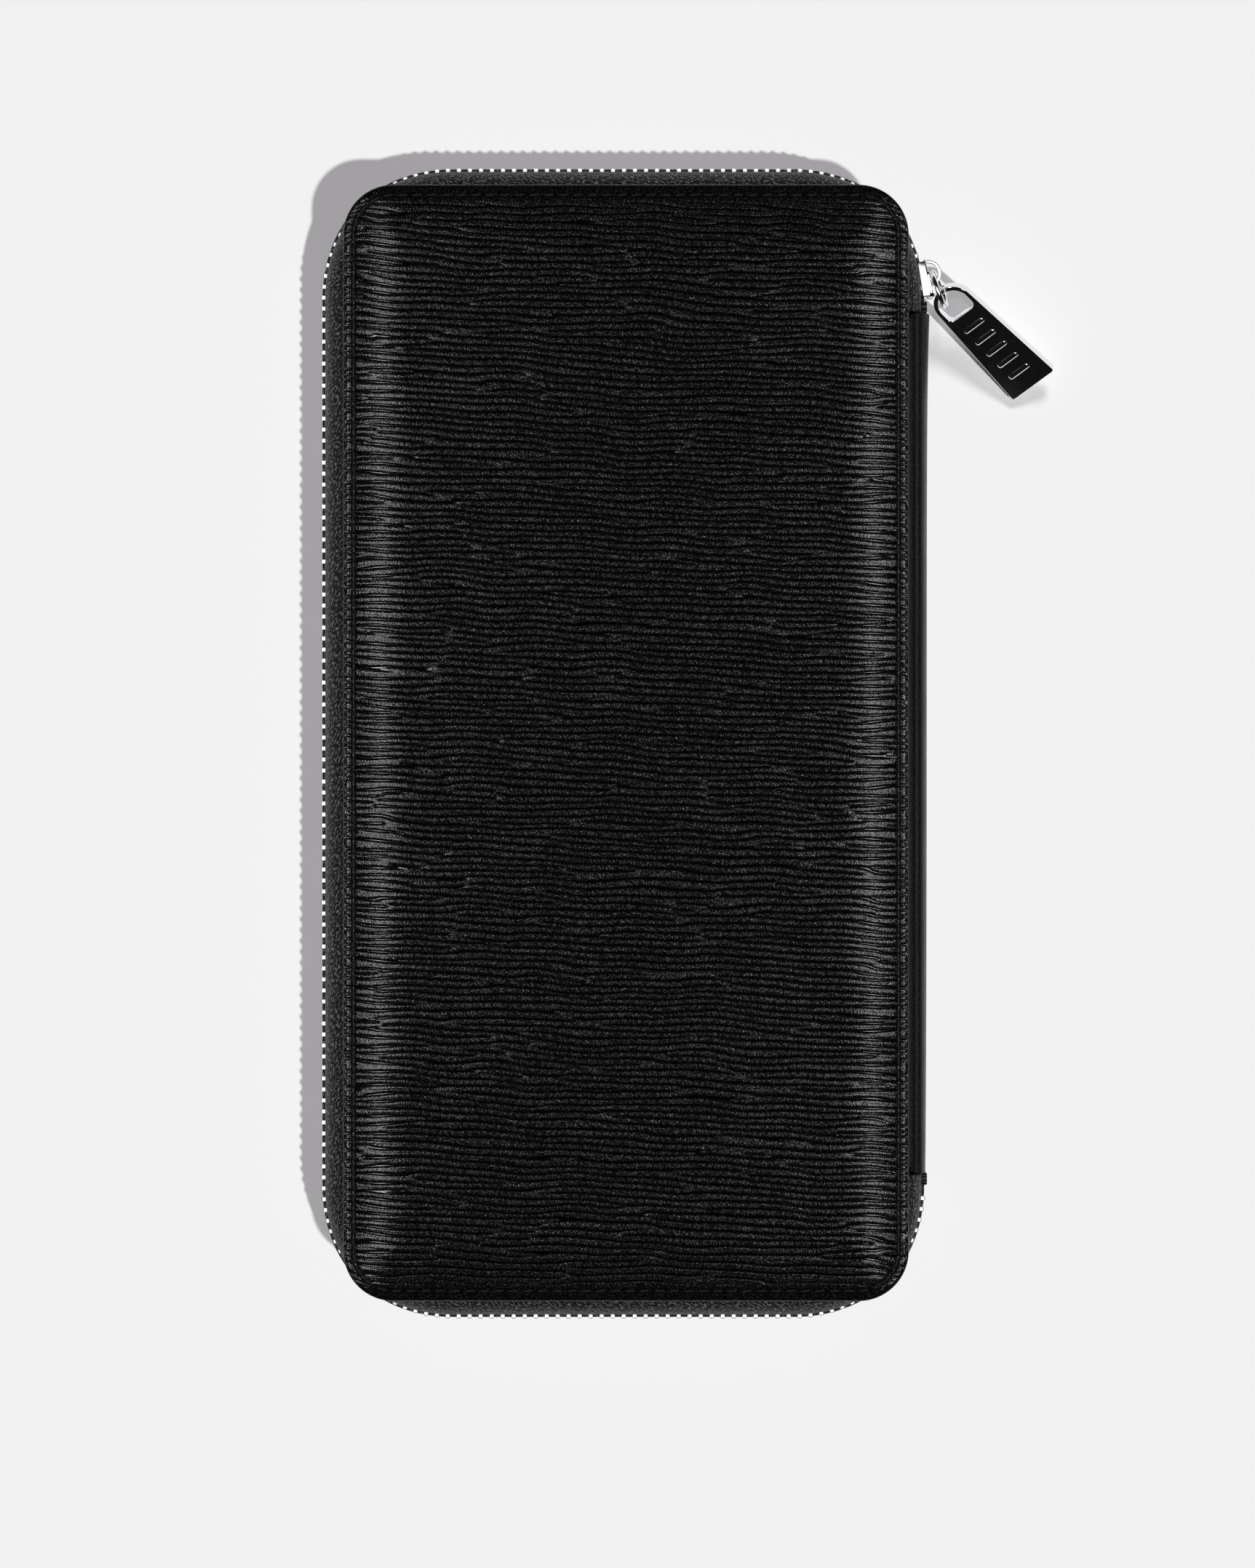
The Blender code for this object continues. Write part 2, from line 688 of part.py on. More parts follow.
def make_coin_teeth(name, side, pivot):
    near, far = (COIN_ZIP_Y + side * distance for distance in COIN_TEETH)
    strip = rounded_outline(COIN_HALF_X, abs(far - near) / 2, 0.1 * MM, 1, (0, (near + far) / 2))
    half = COIN_TEETH_HALF_THICKNESS
    row = slab(strip, coin_plane() - half, coin_plane() + half)
    new_part(name, row, POLISHED_METAL, pivot)


def make_coin_tape(name, profile, pivot):
    """A tape with a section of (y, z) points, all along the coin zip."""
    rows = [[(x, y, z) for x in (-COIN_HALF_X, COIN_HALF_X)] for y, z in profile]
    thicken(new_part(name, sheet(rows), CLOTH_BLACK, pivot), COIN_TAPE)


def make_coin_stop(name, side, pivot):
    x = side * (COIN_HALF_X + COIN_STOP_BEYOND)
    outline = rounded_outline(COIN_STOP_HALF.x, COIN_STOP_HALF.y, COIN_STOP_CORNER, 2, (x, COIN_ZIP_Y))
    stop = slab(outline, coin_plane() - COIN_STOP_HALF.z, coin_plane() + COIN_STOP_HALF.z)
    new_part(name, stop, POLISHED_METAL, pivot)


def make_coin_zip(pivot):
    make_coin_teeth("coin_zip_teeth_upper", 1, pivot)
    make_coin_teeth("coin_zip_teeth_lower", -1, pivot)
    plane = coin_plane()
    lining = THICKNESS - INSIDE - GAP - COIN_TAPE / 2
    start = COIN_ZIP_Y + COIN_TEETH[1] + COIN_TAPE_GAP
    upper = [
        (start, plane),
        (start + COIN_TAPE_FLAT, plane),
        (start + COIN_TAPE_SLOPE_END, lining),
        (start + COIN_TAPE_UPPER, lining),
    ]
    start = COIN_ZIP_Y - COIN_TEETH[1] - COIN_TAPE_GAP
    make_coin_tape("coin_zip_tape_upper", upper, pivot)
    make_coin_tape("coin_zip_tape_lower", [(start, plane), (start - COIN_TAPE_LOWER, plane)], pivot)
    make_coin_stop("coin_zip_stop_left", -1, pivot)
    make_coin_stop("coin_zip_stop_right", 1, pivot)


def coin_section():
    """The coin slider across its zip: two plates and a web, as (across, height) points."""
    half = COIN_SLIDER_HALF.y
    inner = COIN_TEETH_HALF_THICKNESS + GAP
    outer = inner + COIN_PLATE
    web = COIN_WEB / 2
    right = [(half, -outer), (half, -inner), (web, -inner), (web, inner), (half, inner), (half, outer)]
    left = [(-u, v) for u, v in reversed(right)]
    return [(COIN_ZIP_Y + u, coin_plane() + v) for u, v in right + left]


def coin_plate_z():
    """The face of the coin slider that looks into the case."""
    return coin_plane() - COIN_TEETH_HALF_THICKNESS - GAP - COIN_PLATE


def coin_puller_axis_z():
    return coin_plate_z() - COIN_BRIDGE_CLEAR / 2


def make_coin_slider(pivot):
    # The section's (across, height) lie on world Y and Z, and its length on world X.
    turn = Matrix(((0, 0, 1, COIN_SLIDER_X), (1, 0, 0, 0), (0, 1, 0, 0), (0, 0, 0, 1)))
    body = extruded_section(coin_section(), COIN_SLIDER_HALF.x, turn)
    slider = new_part("coin_slider_body", body, POLISHED_METAL, pivot, math.radians(30))
    flip = Matrix(
        (
            (1, 0, 0, COIN_SLIDER_X),
            (0, 0, 1, COIN_ZIP_Y),
            (0, -1, 0, coin_plate_z()),
            (0, 0, 0, 1),
        )
    )
    section = bridge_section(0, COIN_BRIDGE_HALF_LENGTH, 0, COIN_BRIDGE_CLEAR, COIN_BRIDGE_BAR)
    bridge = extruded_section(section, COIN_BRIDGE_WIDTH / 2, flip)
    join_with(slider, new_part("coin_bridge_shape", bridge, POLISHED_METAL, pivot))


def make_coin_puller(pivot):
    z = coin_puller_axis_z()
    half = COIN_PULLER_HALF_THICKNESS
    bar = COIN_PULLER_BAR
    length = COIN_PULLER_LENGTH / 2
    centre = (COIN_SLIDER_X - bar + length, COIN_ZIP_Y)
    outline = rounded_outline(length, COIN_PULLER_HALF_WIDTH, COIN_PULLER_CORNER, 3, centre)
    puller = new_part("coin_puller", slab(outline, z - half, z + half), POLISHED_METAL, pivot)
    eye_centre = (COIN_SLIDER_X + bar + COIN_EYE_HALF.x, COIN_ZIP_Y)
    eye_outline = rounded_outline(COIN_EYE_HALF.x, COIN_EYE_HALF.y, COIN_EYE_CORNER, 2, eye_centre)
    eye = slab(eye_outline, z - 2 * half, z + 2 * half)
    cut_with(puller, new_part("coin_eye_shape", eye, POLISHED_METAL, pivot))


# ---------------------------------------------------------------- assembly


def build_back():
    make_cover("back_cover", False, None)
    make_board("back_board", False, None)
    make_lining("back_lining", False, None)
    near_spine = [((ZIP_RIGHT, SPINE_HALF_Y + GAP), (1, 0))]
    stations = zip_stations(0)
    mirrored = [((ZIP_RIGHT, -SPINE_HALF_Y - GAP), (1, 0))]
    make_tape("back_zip_tape", near_spine + stations + mirrored, False, None)
    make_teeth("back_zip_teeth", zip_stations(TEETH_START), False, None)
    make_end_tab("zip_end_tab_upper", 1)
    make_end_tab("zip_end_tab_lower", -1)
    low = INSIDE + GAP
    make_pocket("boarding_pass_pocket", POCKET_X, BOARDING_Y, low)
    passport_x = (POCKET_X[0] + PASSPORT_NARROWER, POCKET_X[1] - PASSPORT_NARROWER)
    make_pocket("passport_pocket", passport_x, PASSPORT_Y, low + POCKET_SHEET + GAP)
    make_pen_loop()


def build_front(pivot):
    make_cover("front_cover", True, pivot)
    make_board("front_board", True, pivot)
    make_lining("front_lining", True, pivot)
    stations = zip_stations(LOOSE_END + LOOSE_GAP, 7)
    make_tape("front_zip_tape", stations, True, pivot)
    make_teeth("front_zip_teeth", stations, True, pivot)
    for side, name in ((1, "upper"), (-1, "lower")):
        loose = spine_end_stations(side)
        make_tape(f"front_tape_end_{name}", loose, True, pivot)
        chain = loose[1:]
        start = corner_stations(ZIP_CENTRE_X, ZIP_CENTRE_Y, TEETH_START, TEETH_START, 1)[0]
        chain[0] = ((start[0][0], side * start[0][1]), (start[1][0], side * start[1][1]))
        make_teeth(f"front_teeth_end_{name}", chain, True, pivot)
    make_card_slots(pivot)
    make_coin_panel(pivot)
    make_coin_zip(pivot)


def build_moving_pieces():
    fold_low = new_pivot("spine_fold_axis", (FOLD_X, 0, FOLD_Z))
    fold_high = new_pivot("front_fold_axis", (FOLD_X, 0, THICKNESS - FOLD_Z))
    make_spine(fold_low)
    build_front(fold_high)
    make_slider(new_pivot("slider_travel_axis", (ZIP_CENTRE_X, ZIP_CENTRE_Y, MIDDLE)))
    make_ring(new_pivot("ring_swing_axis", ring_hang_point()))
    arch_bar = puller_matrix() @ Vector((0, -EYE_FROM / 2, 0))
    make_puller(new_pivot("puller_swing_axis", arch_bar))
    make_coin_slider(new_pivot("coin_slider_axis", (COIN_SLIDER_X, COIN_ZIP_Y, coin_plane())))
    make_coin_puller(new_pivot("coin_puller_axis", (COIN_SLIDER_X, COIN_ZIP_Y, coin_puller_axis_z())))


clear_scene()
PARTS = new_collection("travel_document_organizer")
CUTTERS = new_collection("cutters")
build_back()
build_moving_pieces()
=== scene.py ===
"""Looks of the travel document organizer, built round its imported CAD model.

+X points to the spine, +Y along it to the slider, and +Z out of the front cover.
The front half is the back half mirrored in height.
"""

import math

import bmesh
import bpy
import numpy as np
from mathutils import Matrix, Vector


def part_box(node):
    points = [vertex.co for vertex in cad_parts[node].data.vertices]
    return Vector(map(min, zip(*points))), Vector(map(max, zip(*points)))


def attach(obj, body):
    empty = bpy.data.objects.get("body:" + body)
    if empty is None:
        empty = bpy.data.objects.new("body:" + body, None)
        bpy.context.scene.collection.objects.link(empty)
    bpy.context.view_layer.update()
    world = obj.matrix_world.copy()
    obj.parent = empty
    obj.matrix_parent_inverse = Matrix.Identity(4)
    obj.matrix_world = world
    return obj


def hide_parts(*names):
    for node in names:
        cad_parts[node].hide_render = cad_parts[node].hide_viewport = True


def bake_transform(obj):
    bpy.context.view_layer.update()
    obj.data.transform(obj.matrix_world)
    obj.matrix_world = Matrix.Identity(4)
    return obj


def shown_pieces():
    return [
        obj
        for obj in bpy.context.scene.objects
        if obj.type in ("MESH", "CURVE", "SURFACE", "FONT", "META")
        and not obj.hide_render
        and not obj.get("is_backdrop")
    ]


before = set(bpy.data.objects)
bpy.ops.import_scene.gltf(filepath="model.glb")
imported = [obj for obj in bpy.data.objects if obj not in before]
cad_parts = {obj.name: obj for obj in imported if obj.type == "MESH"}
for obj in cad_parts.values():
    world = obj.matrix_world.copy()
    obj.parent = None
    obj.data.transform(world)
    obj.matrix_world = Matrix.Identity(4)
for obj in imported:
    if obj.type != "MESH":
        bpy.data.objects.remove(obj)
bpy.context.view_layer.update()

MM = 0.001
QUARTER = math.pi / 2
MIRROR_Y = np.array((1, -1))

# Sizes read from the frame
COVER_HALF_X, COVER_HALF_Y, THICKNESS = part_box("front_cover")[1]
MIDDLE = THICKNESS / 2
CHAIN_LOW, CHAIN_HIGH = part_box("back_zip_teeth")
TAPE_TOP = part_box("back_zip_tape")[1].z
SPINE_LOW, SPINE_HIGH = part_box("spine_cover")
SPINE_HALF_Y = SPINE_HIGH.y
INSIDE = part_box("back_lining")[1].z

# Covers
COVER_CORNER = 10 * MM
COVER_OUTLINE = (COVER_HALF_X, COVER_HALF_Y, COVER_CORNER)
CROWN_DROP = 1.35 * MM  # from the crown to the stitched border
CROWN_INSET = 13 * MM
GROOVE_INSET = 2.05 * MM
BORDER_TILT = 0.11
BORDER_RIDGES = (  # height, inset, half width and sharpness
    (0.3 * MM, 1.0 * MM, 0.68 * MM, 4),  # the turned bead outside the stitches
    (-0.22 * MM, GROOVE_INSET, 0.26 * MM, 2),  # the groove of the stitches
    (0.16 * MM, 0.16 * MM, 0.13 * MM, 2),  # the lip
    (-0.25 * MM, 0.0, 0.1 * MM, 2),  # the rounded edge
)
SWELL_HEIGHT = 0.05 * MM
SWELL_RAMP = (3 * MM, 6 * MM)  # inset where it starts, and the length over which it grows
EDGE_RADIUS = 0.24 * MM
EDGE_DEPTH = 0.3 * MM
COVER_STEP = {"front": 0.15 * MM, "back": 0.3 * MM}
COVER_SEED = {"front": 11, "back": 12}
COVER_COLUMNS = 84  # in the flat middle
COVER_INSETS = np.concatenate((np.arange(0, 3.2, 0.16), np.arange(3.3, 14.1, 0.6))) * MM
COVER_RIMS = (  # inset, and depth below the crown
    (0.0, CROWN_DROP + 0.35 * MM),
    (0.02 * MM, CROWN_DROP + 0.7 * MM),
    (0.12 * MM, CROWN_DROP + 0.95 * MM),
    (0.4 * MM, CROWN_DROP + 1.1 * MM),
    (3.9 * MM, CROWN_DROP + 1.1 * MM),
    (11.9 * MM, 1.2 * MM),
)

# Ribbed leather
RIB_PITCH = 1.45 * MM
RIB_PITCH_SPREAD = 0.17  # of the pitch
RIB_WANDER = 0.042 / MM  # higher makes the ribs shorter along X
RIB_TILT = 0.045  # rise of the ribs along X
RIB_WARP = 0.35 * MM
GATHERS = 0.42 * MM  # how far the ribs bunch up near the long sides
GATHERS_TO = 13 * MM
GATHERS_PITCH = 5.6 * MM
GATHERS_WARP = 1.5 * MM
VALLEY_HALF = 0.2 * MM
VALLEY_FADE = 8  # how sharply valleys end where waves cancel out
RIB_DEPTH = 0.2 * MM
CREASE_PITCH = 0.75 * MM
CREASE_DEPTH = 0.25
RIB_ROUNDING = 0.35  # share of the depth in the round crest, the rest in the narrow valley
RIBS_RAMP = (0.35 * MM, 0.4 * MM)
SEAM_PRESS = 0.7  # how much the stitches flatten the ribs
SEAM_PRESS_HALF = 0.3 * MM
BORDER_RIBS = 0.75  # strength of the ribs outside the stitches
PLAIN_END = (2.6 * MM, 1.6 * MM)  # the ribs fade out towards each short edge
PLAIN_FADE = 0.85
# Painted shade near each short edge, where the ribs fade
PLAIN_END_PAINTED_SHADE = 0.6
FIELD_SIZE = (128 * MM, 256 * MM)
FIELD_CELLS = (256, 2048)
SWELLS = 9

# Stitches
STITCH_PITCH = 2.9 * MM
STITCH_LENGTH = 2.1 * MM
STITCH_RADIUS = 0.27 * MM
STITCH_DEPTH = 0.16 * MM  # below the border of the crown
STITCH_SLANT = math.radians(5)
SMALL_STITCH = {"pitch": 2.6 * MM, "length": 1.8 * MM, "radius": 0.16 * MM}

# Zip
CHAIN_HALF = 0.65 * MM
ZIP_LEFT = CHAIN_LOW.x + CHAIN_HALF
ZIP_RIGHT = CHAIN_HIGH.x - CHAIN_HALF
ZIP_HALF_Y = CHAIN_HIGH.y - CHAIN_HALF
ZIP_CORNER = 26 * MM
ZIP_CENTRE_X = ZIP_RIGHT - ZIP_CORNER
ZIP_CENTRE_Y = ZIP_HALF_Y - ZIP_CORNER
SPINE_GAP = 0.3 * MM
SEAM_INSET = 3.6 * MM
SEAM_HEIGHT = 2.75 * MM
SEAM_TRIES = 60
TAPE_HALF = 0.2 * MM
TAPE_COLUMNS = 15
TAPE_INWARDS = 0.75 * MM  # the tape runs this far inside the chain's middle line
CORNER_BULGE = 0.6 * MM  # how far the tape pushes out over the teeth in the middle of a corner
CORD_HALF = 0.42 * MM  # the thick edge that the teeth grip
CORD_HEIGHTS = np.array((0.3, 0.6, 1.1, 1.6)) * MM
CORD_OUTWARDS = np.array((0.15, 0.4, 0.42, 0.4)) * MM
TEETH_PITCH = 2.2 * MM
TEETH_START = math.radians(1.2)
TOOTH_CORNER = 0.2  # in mm, as its sections are
LAST_TOOTH = 0.3 * MM  # the least room that a row leaves after its last tooth
BACK_TEETH_PHASE = 0.6 * MM
FRONT_TEETH_PHASE = 1.7 * MM
LOOSE_END = math.radians(45)
TOOTH_SECTIONS = (  # in mm: height above the tape, half length along the chain, inner and outer side
    (-0.05, 0.36, -1.05, 0.15),
    (0.10, 0.46, -1.20, 0.30),
    (1.75, 0.46, -1.20, 0.32),
    (2.10, 0.43, -1.10, 0.26),
    (2.45, 0.36, -0.95, 0.14),
    (2.95, 0.42, -1.00, 0.20),
    (3.55, 0.43, -1.00, 0.20),
    (3.85, 0.30, -0.84, 0.04),
)
END_TAB_CORNER = 0.35 * MM
END_TAB_SWELLS = (  # share of the half height, and of the width and depth
    (-1, 0.72), (-0.92, 0.95), (-0.4, 1.05), (0, 0.98), (0.4, 1.05), (0.92, 0.95), (1, 0.72),
)

# Spine
SPINE_SKIN = 0.45 * MM
SPINE_FOOT = 0.7 * MM  # its section starts this far above its lower edge
SPINE_INNER = 0.4 * MM
SPINE_FLATNESS = 0.6
SPINE_POINTS = 34
SPINE_STEP = 0.2 * MM
SPINE_FLARE = (0.55 * MM, 14 * MM)  # how much and over what length, at the slider's end
SPINE_NARROWING = (0.3 * MM, 30 * MM)  # the same, at the other end
SPINE_RIBS = 0.6
SPINE_RIB_DEPTH = 0.09 * MM
SPINE_SWELL = 0.04 * MM
SPINE_FOLD_AT = 1.2 * MM
SPINE_FOLD_HALF = 0.2 * MM
SPINE_FOLD_DEPTH = 0.22 * MM
SPINE_ROUNDING = 0.25 * MM
SPINE_SEED = 7
LINING_HALF = 0.3 * MM
LINING_SWELL = 0.12 * MM
LINING_CELLS = (120, 14)
FOLD_HALF = 0.25 * MM
FOLD_SHORTER = 0.4 * MM  # than the spine, at each end
FOLD_CELLS = (160, 25)
FOLD_SECTION = np.array((  # in mm: X and Z, from under the cover's edge to the spine's root
    (52.9, 3.0), (54.5, 2.95), (55.8, 2.9), (56.7, 3.0), (57.4, 3.3), (57.75, 3.8), (57.85, 4.5),
))

# Slider, ring and puller
SLIDER_ANGLE = math.radians(9)
SLIDER_FACE = 1.7 * MM  # how far its outer face stands off the chain's middle
SLIDER_SCALE = (  # in mm: place along the chain, inner and outer side, half width
    (-3.85, 0.95, 1.55, 3.2),
    (-3.75, 0.9, 1.85, 3.6),
    (-3.3, 0.9, 1.9, 3.85),
    (-3.05, 0.9, 1.65, 3.95),
    (-2.0, 0.9, 1.62, 4.1),
    (0.6, 0.9, 1.7, 4.15),
    (1.0, 0.9, 1.62, 4.1),
    (1.25, 0.9, 1.25, 4.0),
    (3.2, 0.9, 1.2, 3.7),
    (3.7, 0.9, 1.15, 3.3),
    (3.85, 0.9, 1.05, 3.0),
)
INNER_PLATE = ((-3.8, 3.3), (-3.6, 3.8), (-2, 4.1), (1, 4.1), (3.3, 3.8), (3.8, 3.2))  # place, half width
SLIDER_ROOF = ((-3.5, 0.28), (-3.3, 0.35), (1.1, 0.35), (1.3, 0.35), (3.2, 0.3), (3.4, 0.25))
SLIDER_ROOF_AT = 3.72 * MM
BRIDGE_AT = 1.2 * MM
BRIDGE_CLEAR = 1.75 * MM
BRIDGE_BAR = 0.7 * MM
BRIDGE_HALF_LENGTH = 2.6 * MM
BRIDGE_HALF_WIDTH = 0.65 * MM
BRIDGE_FOOT = 0.35 * MM
BRIDGE_BEVEL = 0.18 * MM
RING_RADIUS = 3.8 * MM
RING_WIRE = 0.5 * MM
RING_SWING = math.radians(10.8)
RING_TILT = math.radians(10)
PULLER_TOP = Vector((63.05, 91.15, 12.8)) * MM
PULLER_HEADING = math.radians(-43.5)
PULLER_SLOPE = math.radians(19)
PULLER_ROLL = math.radians(30)
PULLER_LENGTH = 28.2 * MM
PULLER_HALF_TOP = 4.1 * MM
PULLER_HALF_END = 5.5 * MM
PULLER_ARCH = 4.2 * MM
PULLER_CORNER = 0.5 * MM
PULLER_THICKNESS = 2.0 * MM
PULLER_BEVEL = 0.16 * MM
EYE_FROM = 1.0 * MM
EYE_TO = 7.0 * MM
EYE_HALF = 3.3 * MM
EYE_CORNER = 1.2 * MM
GRIP_BARS = 5
GRIP_START = -10.2 * MM
GRIP_PITCH = 3.4 * MM
GRIP_OUTLINE = (2.6 * MM, 0.62 * MM, 0.5 * MM)
GRIP_HALF_HEIGHT = 0.4 * MM
GRIP_BEVEL = 0.38 * MM
GRIP_SINK = 0.1 * MM  # into the puller's face

# Inside
LINING_CORNER = 6.8 * MM
PANEL_STEP = 0.8 * MM
PANEL_COLUMN = 1.5 * MM
PANEL_EDGE_DROP = 0.16 * MM
PANEL_EDGE_HALF = 0.25 * MM
PANEL_INSETS = np.array((0, 0.15, 0.35, 0.6, 0.9, 1.2, 1.5, 1.8, 2.2, 2.8, 4.0)) * MM
COIN_INSETS = np.array((0, 0.2, 0.5, 0.9, 1.3, 1.7, 2.1, 2.6, 3.2, 4.0, 5.0, 6.5, 8.5)) * MM
COIN_CORNER = 2.5 * MM
COIN_COLUMNS = 50
COIN_EDGE = 0.35 * MM  # thickness of its flat edge
COIN_RAMP = (1.2 * MM, 4 * MM)  # inset where it starts to puff up, and the length over which it rises
COIN_MOUTH = 6 * MM  # it stays puffed this near its zip
COIN_SWELL = 0.08 * MM
COIN_SEAM = 0.9 * MM
COIN_ZIP_Y = -14 * MM
COIN_PLANE = THICKNESS - INSIDE - 2.4 * MM
COIN_HALF_X = 46 * MM
COIN_TEETH_PITCH = 1.5 * MM
COIN_TOOTH = (  # in mm: place along the zip, inner and outer side, half height
    (-0.36, 0.1, 0.95, 0.4),
    (-0.3, 0.0, 1.05, 0.5),
    (0.3, 0.0, 1.05, 0.5),
    (0.36, 0.1, 0.95, 0.4),
)
COIN_METAL = ("coin_zip_stop_left", "coin_zip_stop_right", "coin_slider_body", "coin_puller")
LOOP_HALF_WALL = 0.28 * MM
LOOP_INSET = 0.3 * MM
LOOP_RIB_HEIGHT = 0.04 * MM
LOOP_RIB_LENGTH = 0.6 * MM

# Colours
BLACK = (0.0006, 0.0006, 0.0007)
# The rib crests' black; the valleys keep BLACK as painted shade
LIT_CREST_BLACK = (0.008, 0.008, 0.0082)
# Painted glints: slanting strokes on the rib crests
CREST_GLINT_GREY = (0.09, 0.09, 0.092)
SILVER = (0.82, 0.82, 0.83)
FLECKS_PER_METRE = (1 / (0.8 * MM), 1 / (0.32 * MM), 1.0)  # along and across their slant
WASH_COLOUR = (0.89, 0.51, 1.0)
SUN_COLOUR = (0.972, 1.0, 0.961)
BACKDROP = (0.871, 0.871, 0.871, 1)

# Camera and light
CAMERA_AT = Vector((0.29, -8.17, 1162.0)) * MM
CAMERA_LENS = 131.6  # in mm, as its sensor is
CAMERA_SENSOR = 36.0
FLOOR_Z = -0.25 * MM
FLOOR_HALF = 40
SOFTBOX_TARGET = Vector((0, 0, 0.012))
STRIP_AWAY = 0.34
STRIP_HEIGHT = 0.95
STRIP_SIZE = (0.5, 0.08)
STRIP_POWER = 1.9
SOFTBOX_PLACE = (0, 0, 1.0)
SOFTBOX_SIZE = (0.8, 0.8)
SOFTBOX_POWER = 2.4
SMALL_METAL = ("slider_metal", "puller_ring_wire", "puller_grip_bars", *COIN_METAL)


# ---- numbers


def ramp(value, start, length):
    """0 up to a start, and 1 from a length beyond it."""
    return np.clip((value - start) / length, 0, 1)


def eased(share):
    return share * share * (3 - 2 * share)


def ridge(distance, half, power=2):
    """1 in the middle of a ridge, falling to 0 within about twice its half width."""
    return np.exp(-((distance / half) ** power))


def distances_along(points):
    return np.concatenate(([0], np.cumsum(np.linalg.norm(np.diff(points, axis=0), axis=1))))


def at_places(places, known, rows):
    """Each column of a table, read at places between the known ones."""
    return np.column_stack([np.interp(places, known, column) for column in np.transpose(rows)])


def unit(vectors):
    return vectors / np.linalg.norm(vectors, axis=1, keepdims=True)


# ---- shapes as (points, faces)


def arc(centre, radii, start, end, steps):
    """Points of an ellipse's arc between two angles in degrees."""
    angles = [math.radians(start + (end - start) * step / steps) for step in range(steps + 1)]
    return [(centre[0] + radii[0] * math.cos(a), centre[1] + radii[1] * math.sin(a)) for a in angles]


def round_rectangle(half_x, half_y, corner, steps=6, centre_x=0):
    corner = min(corner, half_x, half_y)
    points = []
    for quarter, (side_x, side_y) in enumerate(((1, 1), (-1, 1), (-1, -1), (1, -1))):
        centre = (centre_x + side_x * (half_x - corner), side_y * (half_y - corner))
        points += arc(centre, (corner, corner), 90 * quarter, 90 * quarter + 90, steps)
    return points


def rounded_section(low, high, half, corner, steps=4):
    """A rounded rectangle from low to high one way, and half each way in the other."""
    return round_rectangle((high - low) / 2, half, corner, steps, (low + high) / 2)


def point_numbers(rows, columns, start=0):
    return np.arange(start, start + rows * columns).reshape(rows, columns)


def grid_faces(index, close_rows=False, close_columns=False):
    """Quads over a table of point numbers, facing up where rows go along Y and columns along X."""
    if close_rows:
        index = np.vstack((index, index[:1]))
    if close_columns:
        index = np.hstack((index, index[:, :1]))
    corners = (index[:-1, :-1], index[:-1, 1:], index[1:, 1:], index[1:, :-1])
    return np.stack(corners, -1).reshape(-1, 4).tolist()


def joined(*shapes):
    """Several shapes as one."""
    points, faces, start = [], [], 0
    for some_points, some_faces in shapes:
        points.append(np.asarray(some_points, float))
        faces += [[start + k for k in face] for face in some_faces]
        start += len(some_points)
    return np.vstack(points), faces


def moved(shape, matrix):
    points, faces = shape
    turn = np.array(matrix.to_3x3())
    return np.asarray(points) @ turn.T + np.array(matrix.translation), faces


def on_front(shape):
    """The mirror image of a back-half shape, on the front half."""
    points, faces = shape
    points = np.array(points)
    points[:, 2] = THICKNESS - points[:, 2]
    return points, [face[::-1] for face in faces]


def loft(rings):
    """A closed body through rings of equal length, capped at both ends."""
    rings = np.asarray(rings, float)
    index = point_numbers(*rings.shape[:2])
    faces = grid_faces(index, close_columns=True)
    faces.append(index[0][::-1].tolist())
    faces.append(index[-1].tolist())
    return rings.reshape(-1, 3), faces


def lofted_sections(stations, corner):
    """A closed body along X through rounded rectangles, in mm: (x, y low, y high, half z)."""
    rings = []
    for x, low, high, half in stations:
        rings.append([(x, y, z) for y, z in rounded_section(low, high, half, corner)])
    return loft(np.array(rings) * MM)


def ring_of_tubes(rings):
    """A closed loop of sections, such as a torus."""
    rings = np.asarray(rings, float)
    return rings.reshape(-1, 3), grid_faces(point_numbers(*rings.shape[:2]), True, True)


def sheet_table(x, y, z):
    """A table of points from coordinates that are stretched over each other's rows and columns."""
    return np.stack(np.broadcast_arrays(x, y, z), -1)


def surface_normals(points):
    """Unit normals of a table of points."""
    along = np.gradient(points, axis=0)
    across = np.gradient(points, axis=1)
    normal = np.cross(across, along)
    return normal / np.maximum(np.linalg.norm(normal, axis=-1, keepdims=True), 1e-12)


def boundary(index):
    """The point numbers round a table, anticlockwise."""
    return np.concatenate((index[0, :-1], index[:-1, -1], index[-1, :0:-1], index[:0:-1, 0]))


def rim_faces(upper, lower):
    return np.stack((np.roll(upper, -1), upper, lower, np.roll(lower, -1)), -1).tolist()


def thick_sheet(points, outer, inner):
    """A closed sheet round a table of points: outer and inner are distances along its normals."""
    normal = surface_normals(points)
    top = points + normal * outer
    bottom = points - normal * inner
    rows, columns = points.shape[:2]
    index = point_numbers(rows, columns)
    below = index + rows * columns
    faces = grid_faces(index) + grid_faces(below[:, ::-1])
    faces += rim_faces(boundary(index), boundary(below))
    return np.vstack((top.reshape(-1, 3), bottom.reshape(-1, 3))), faces


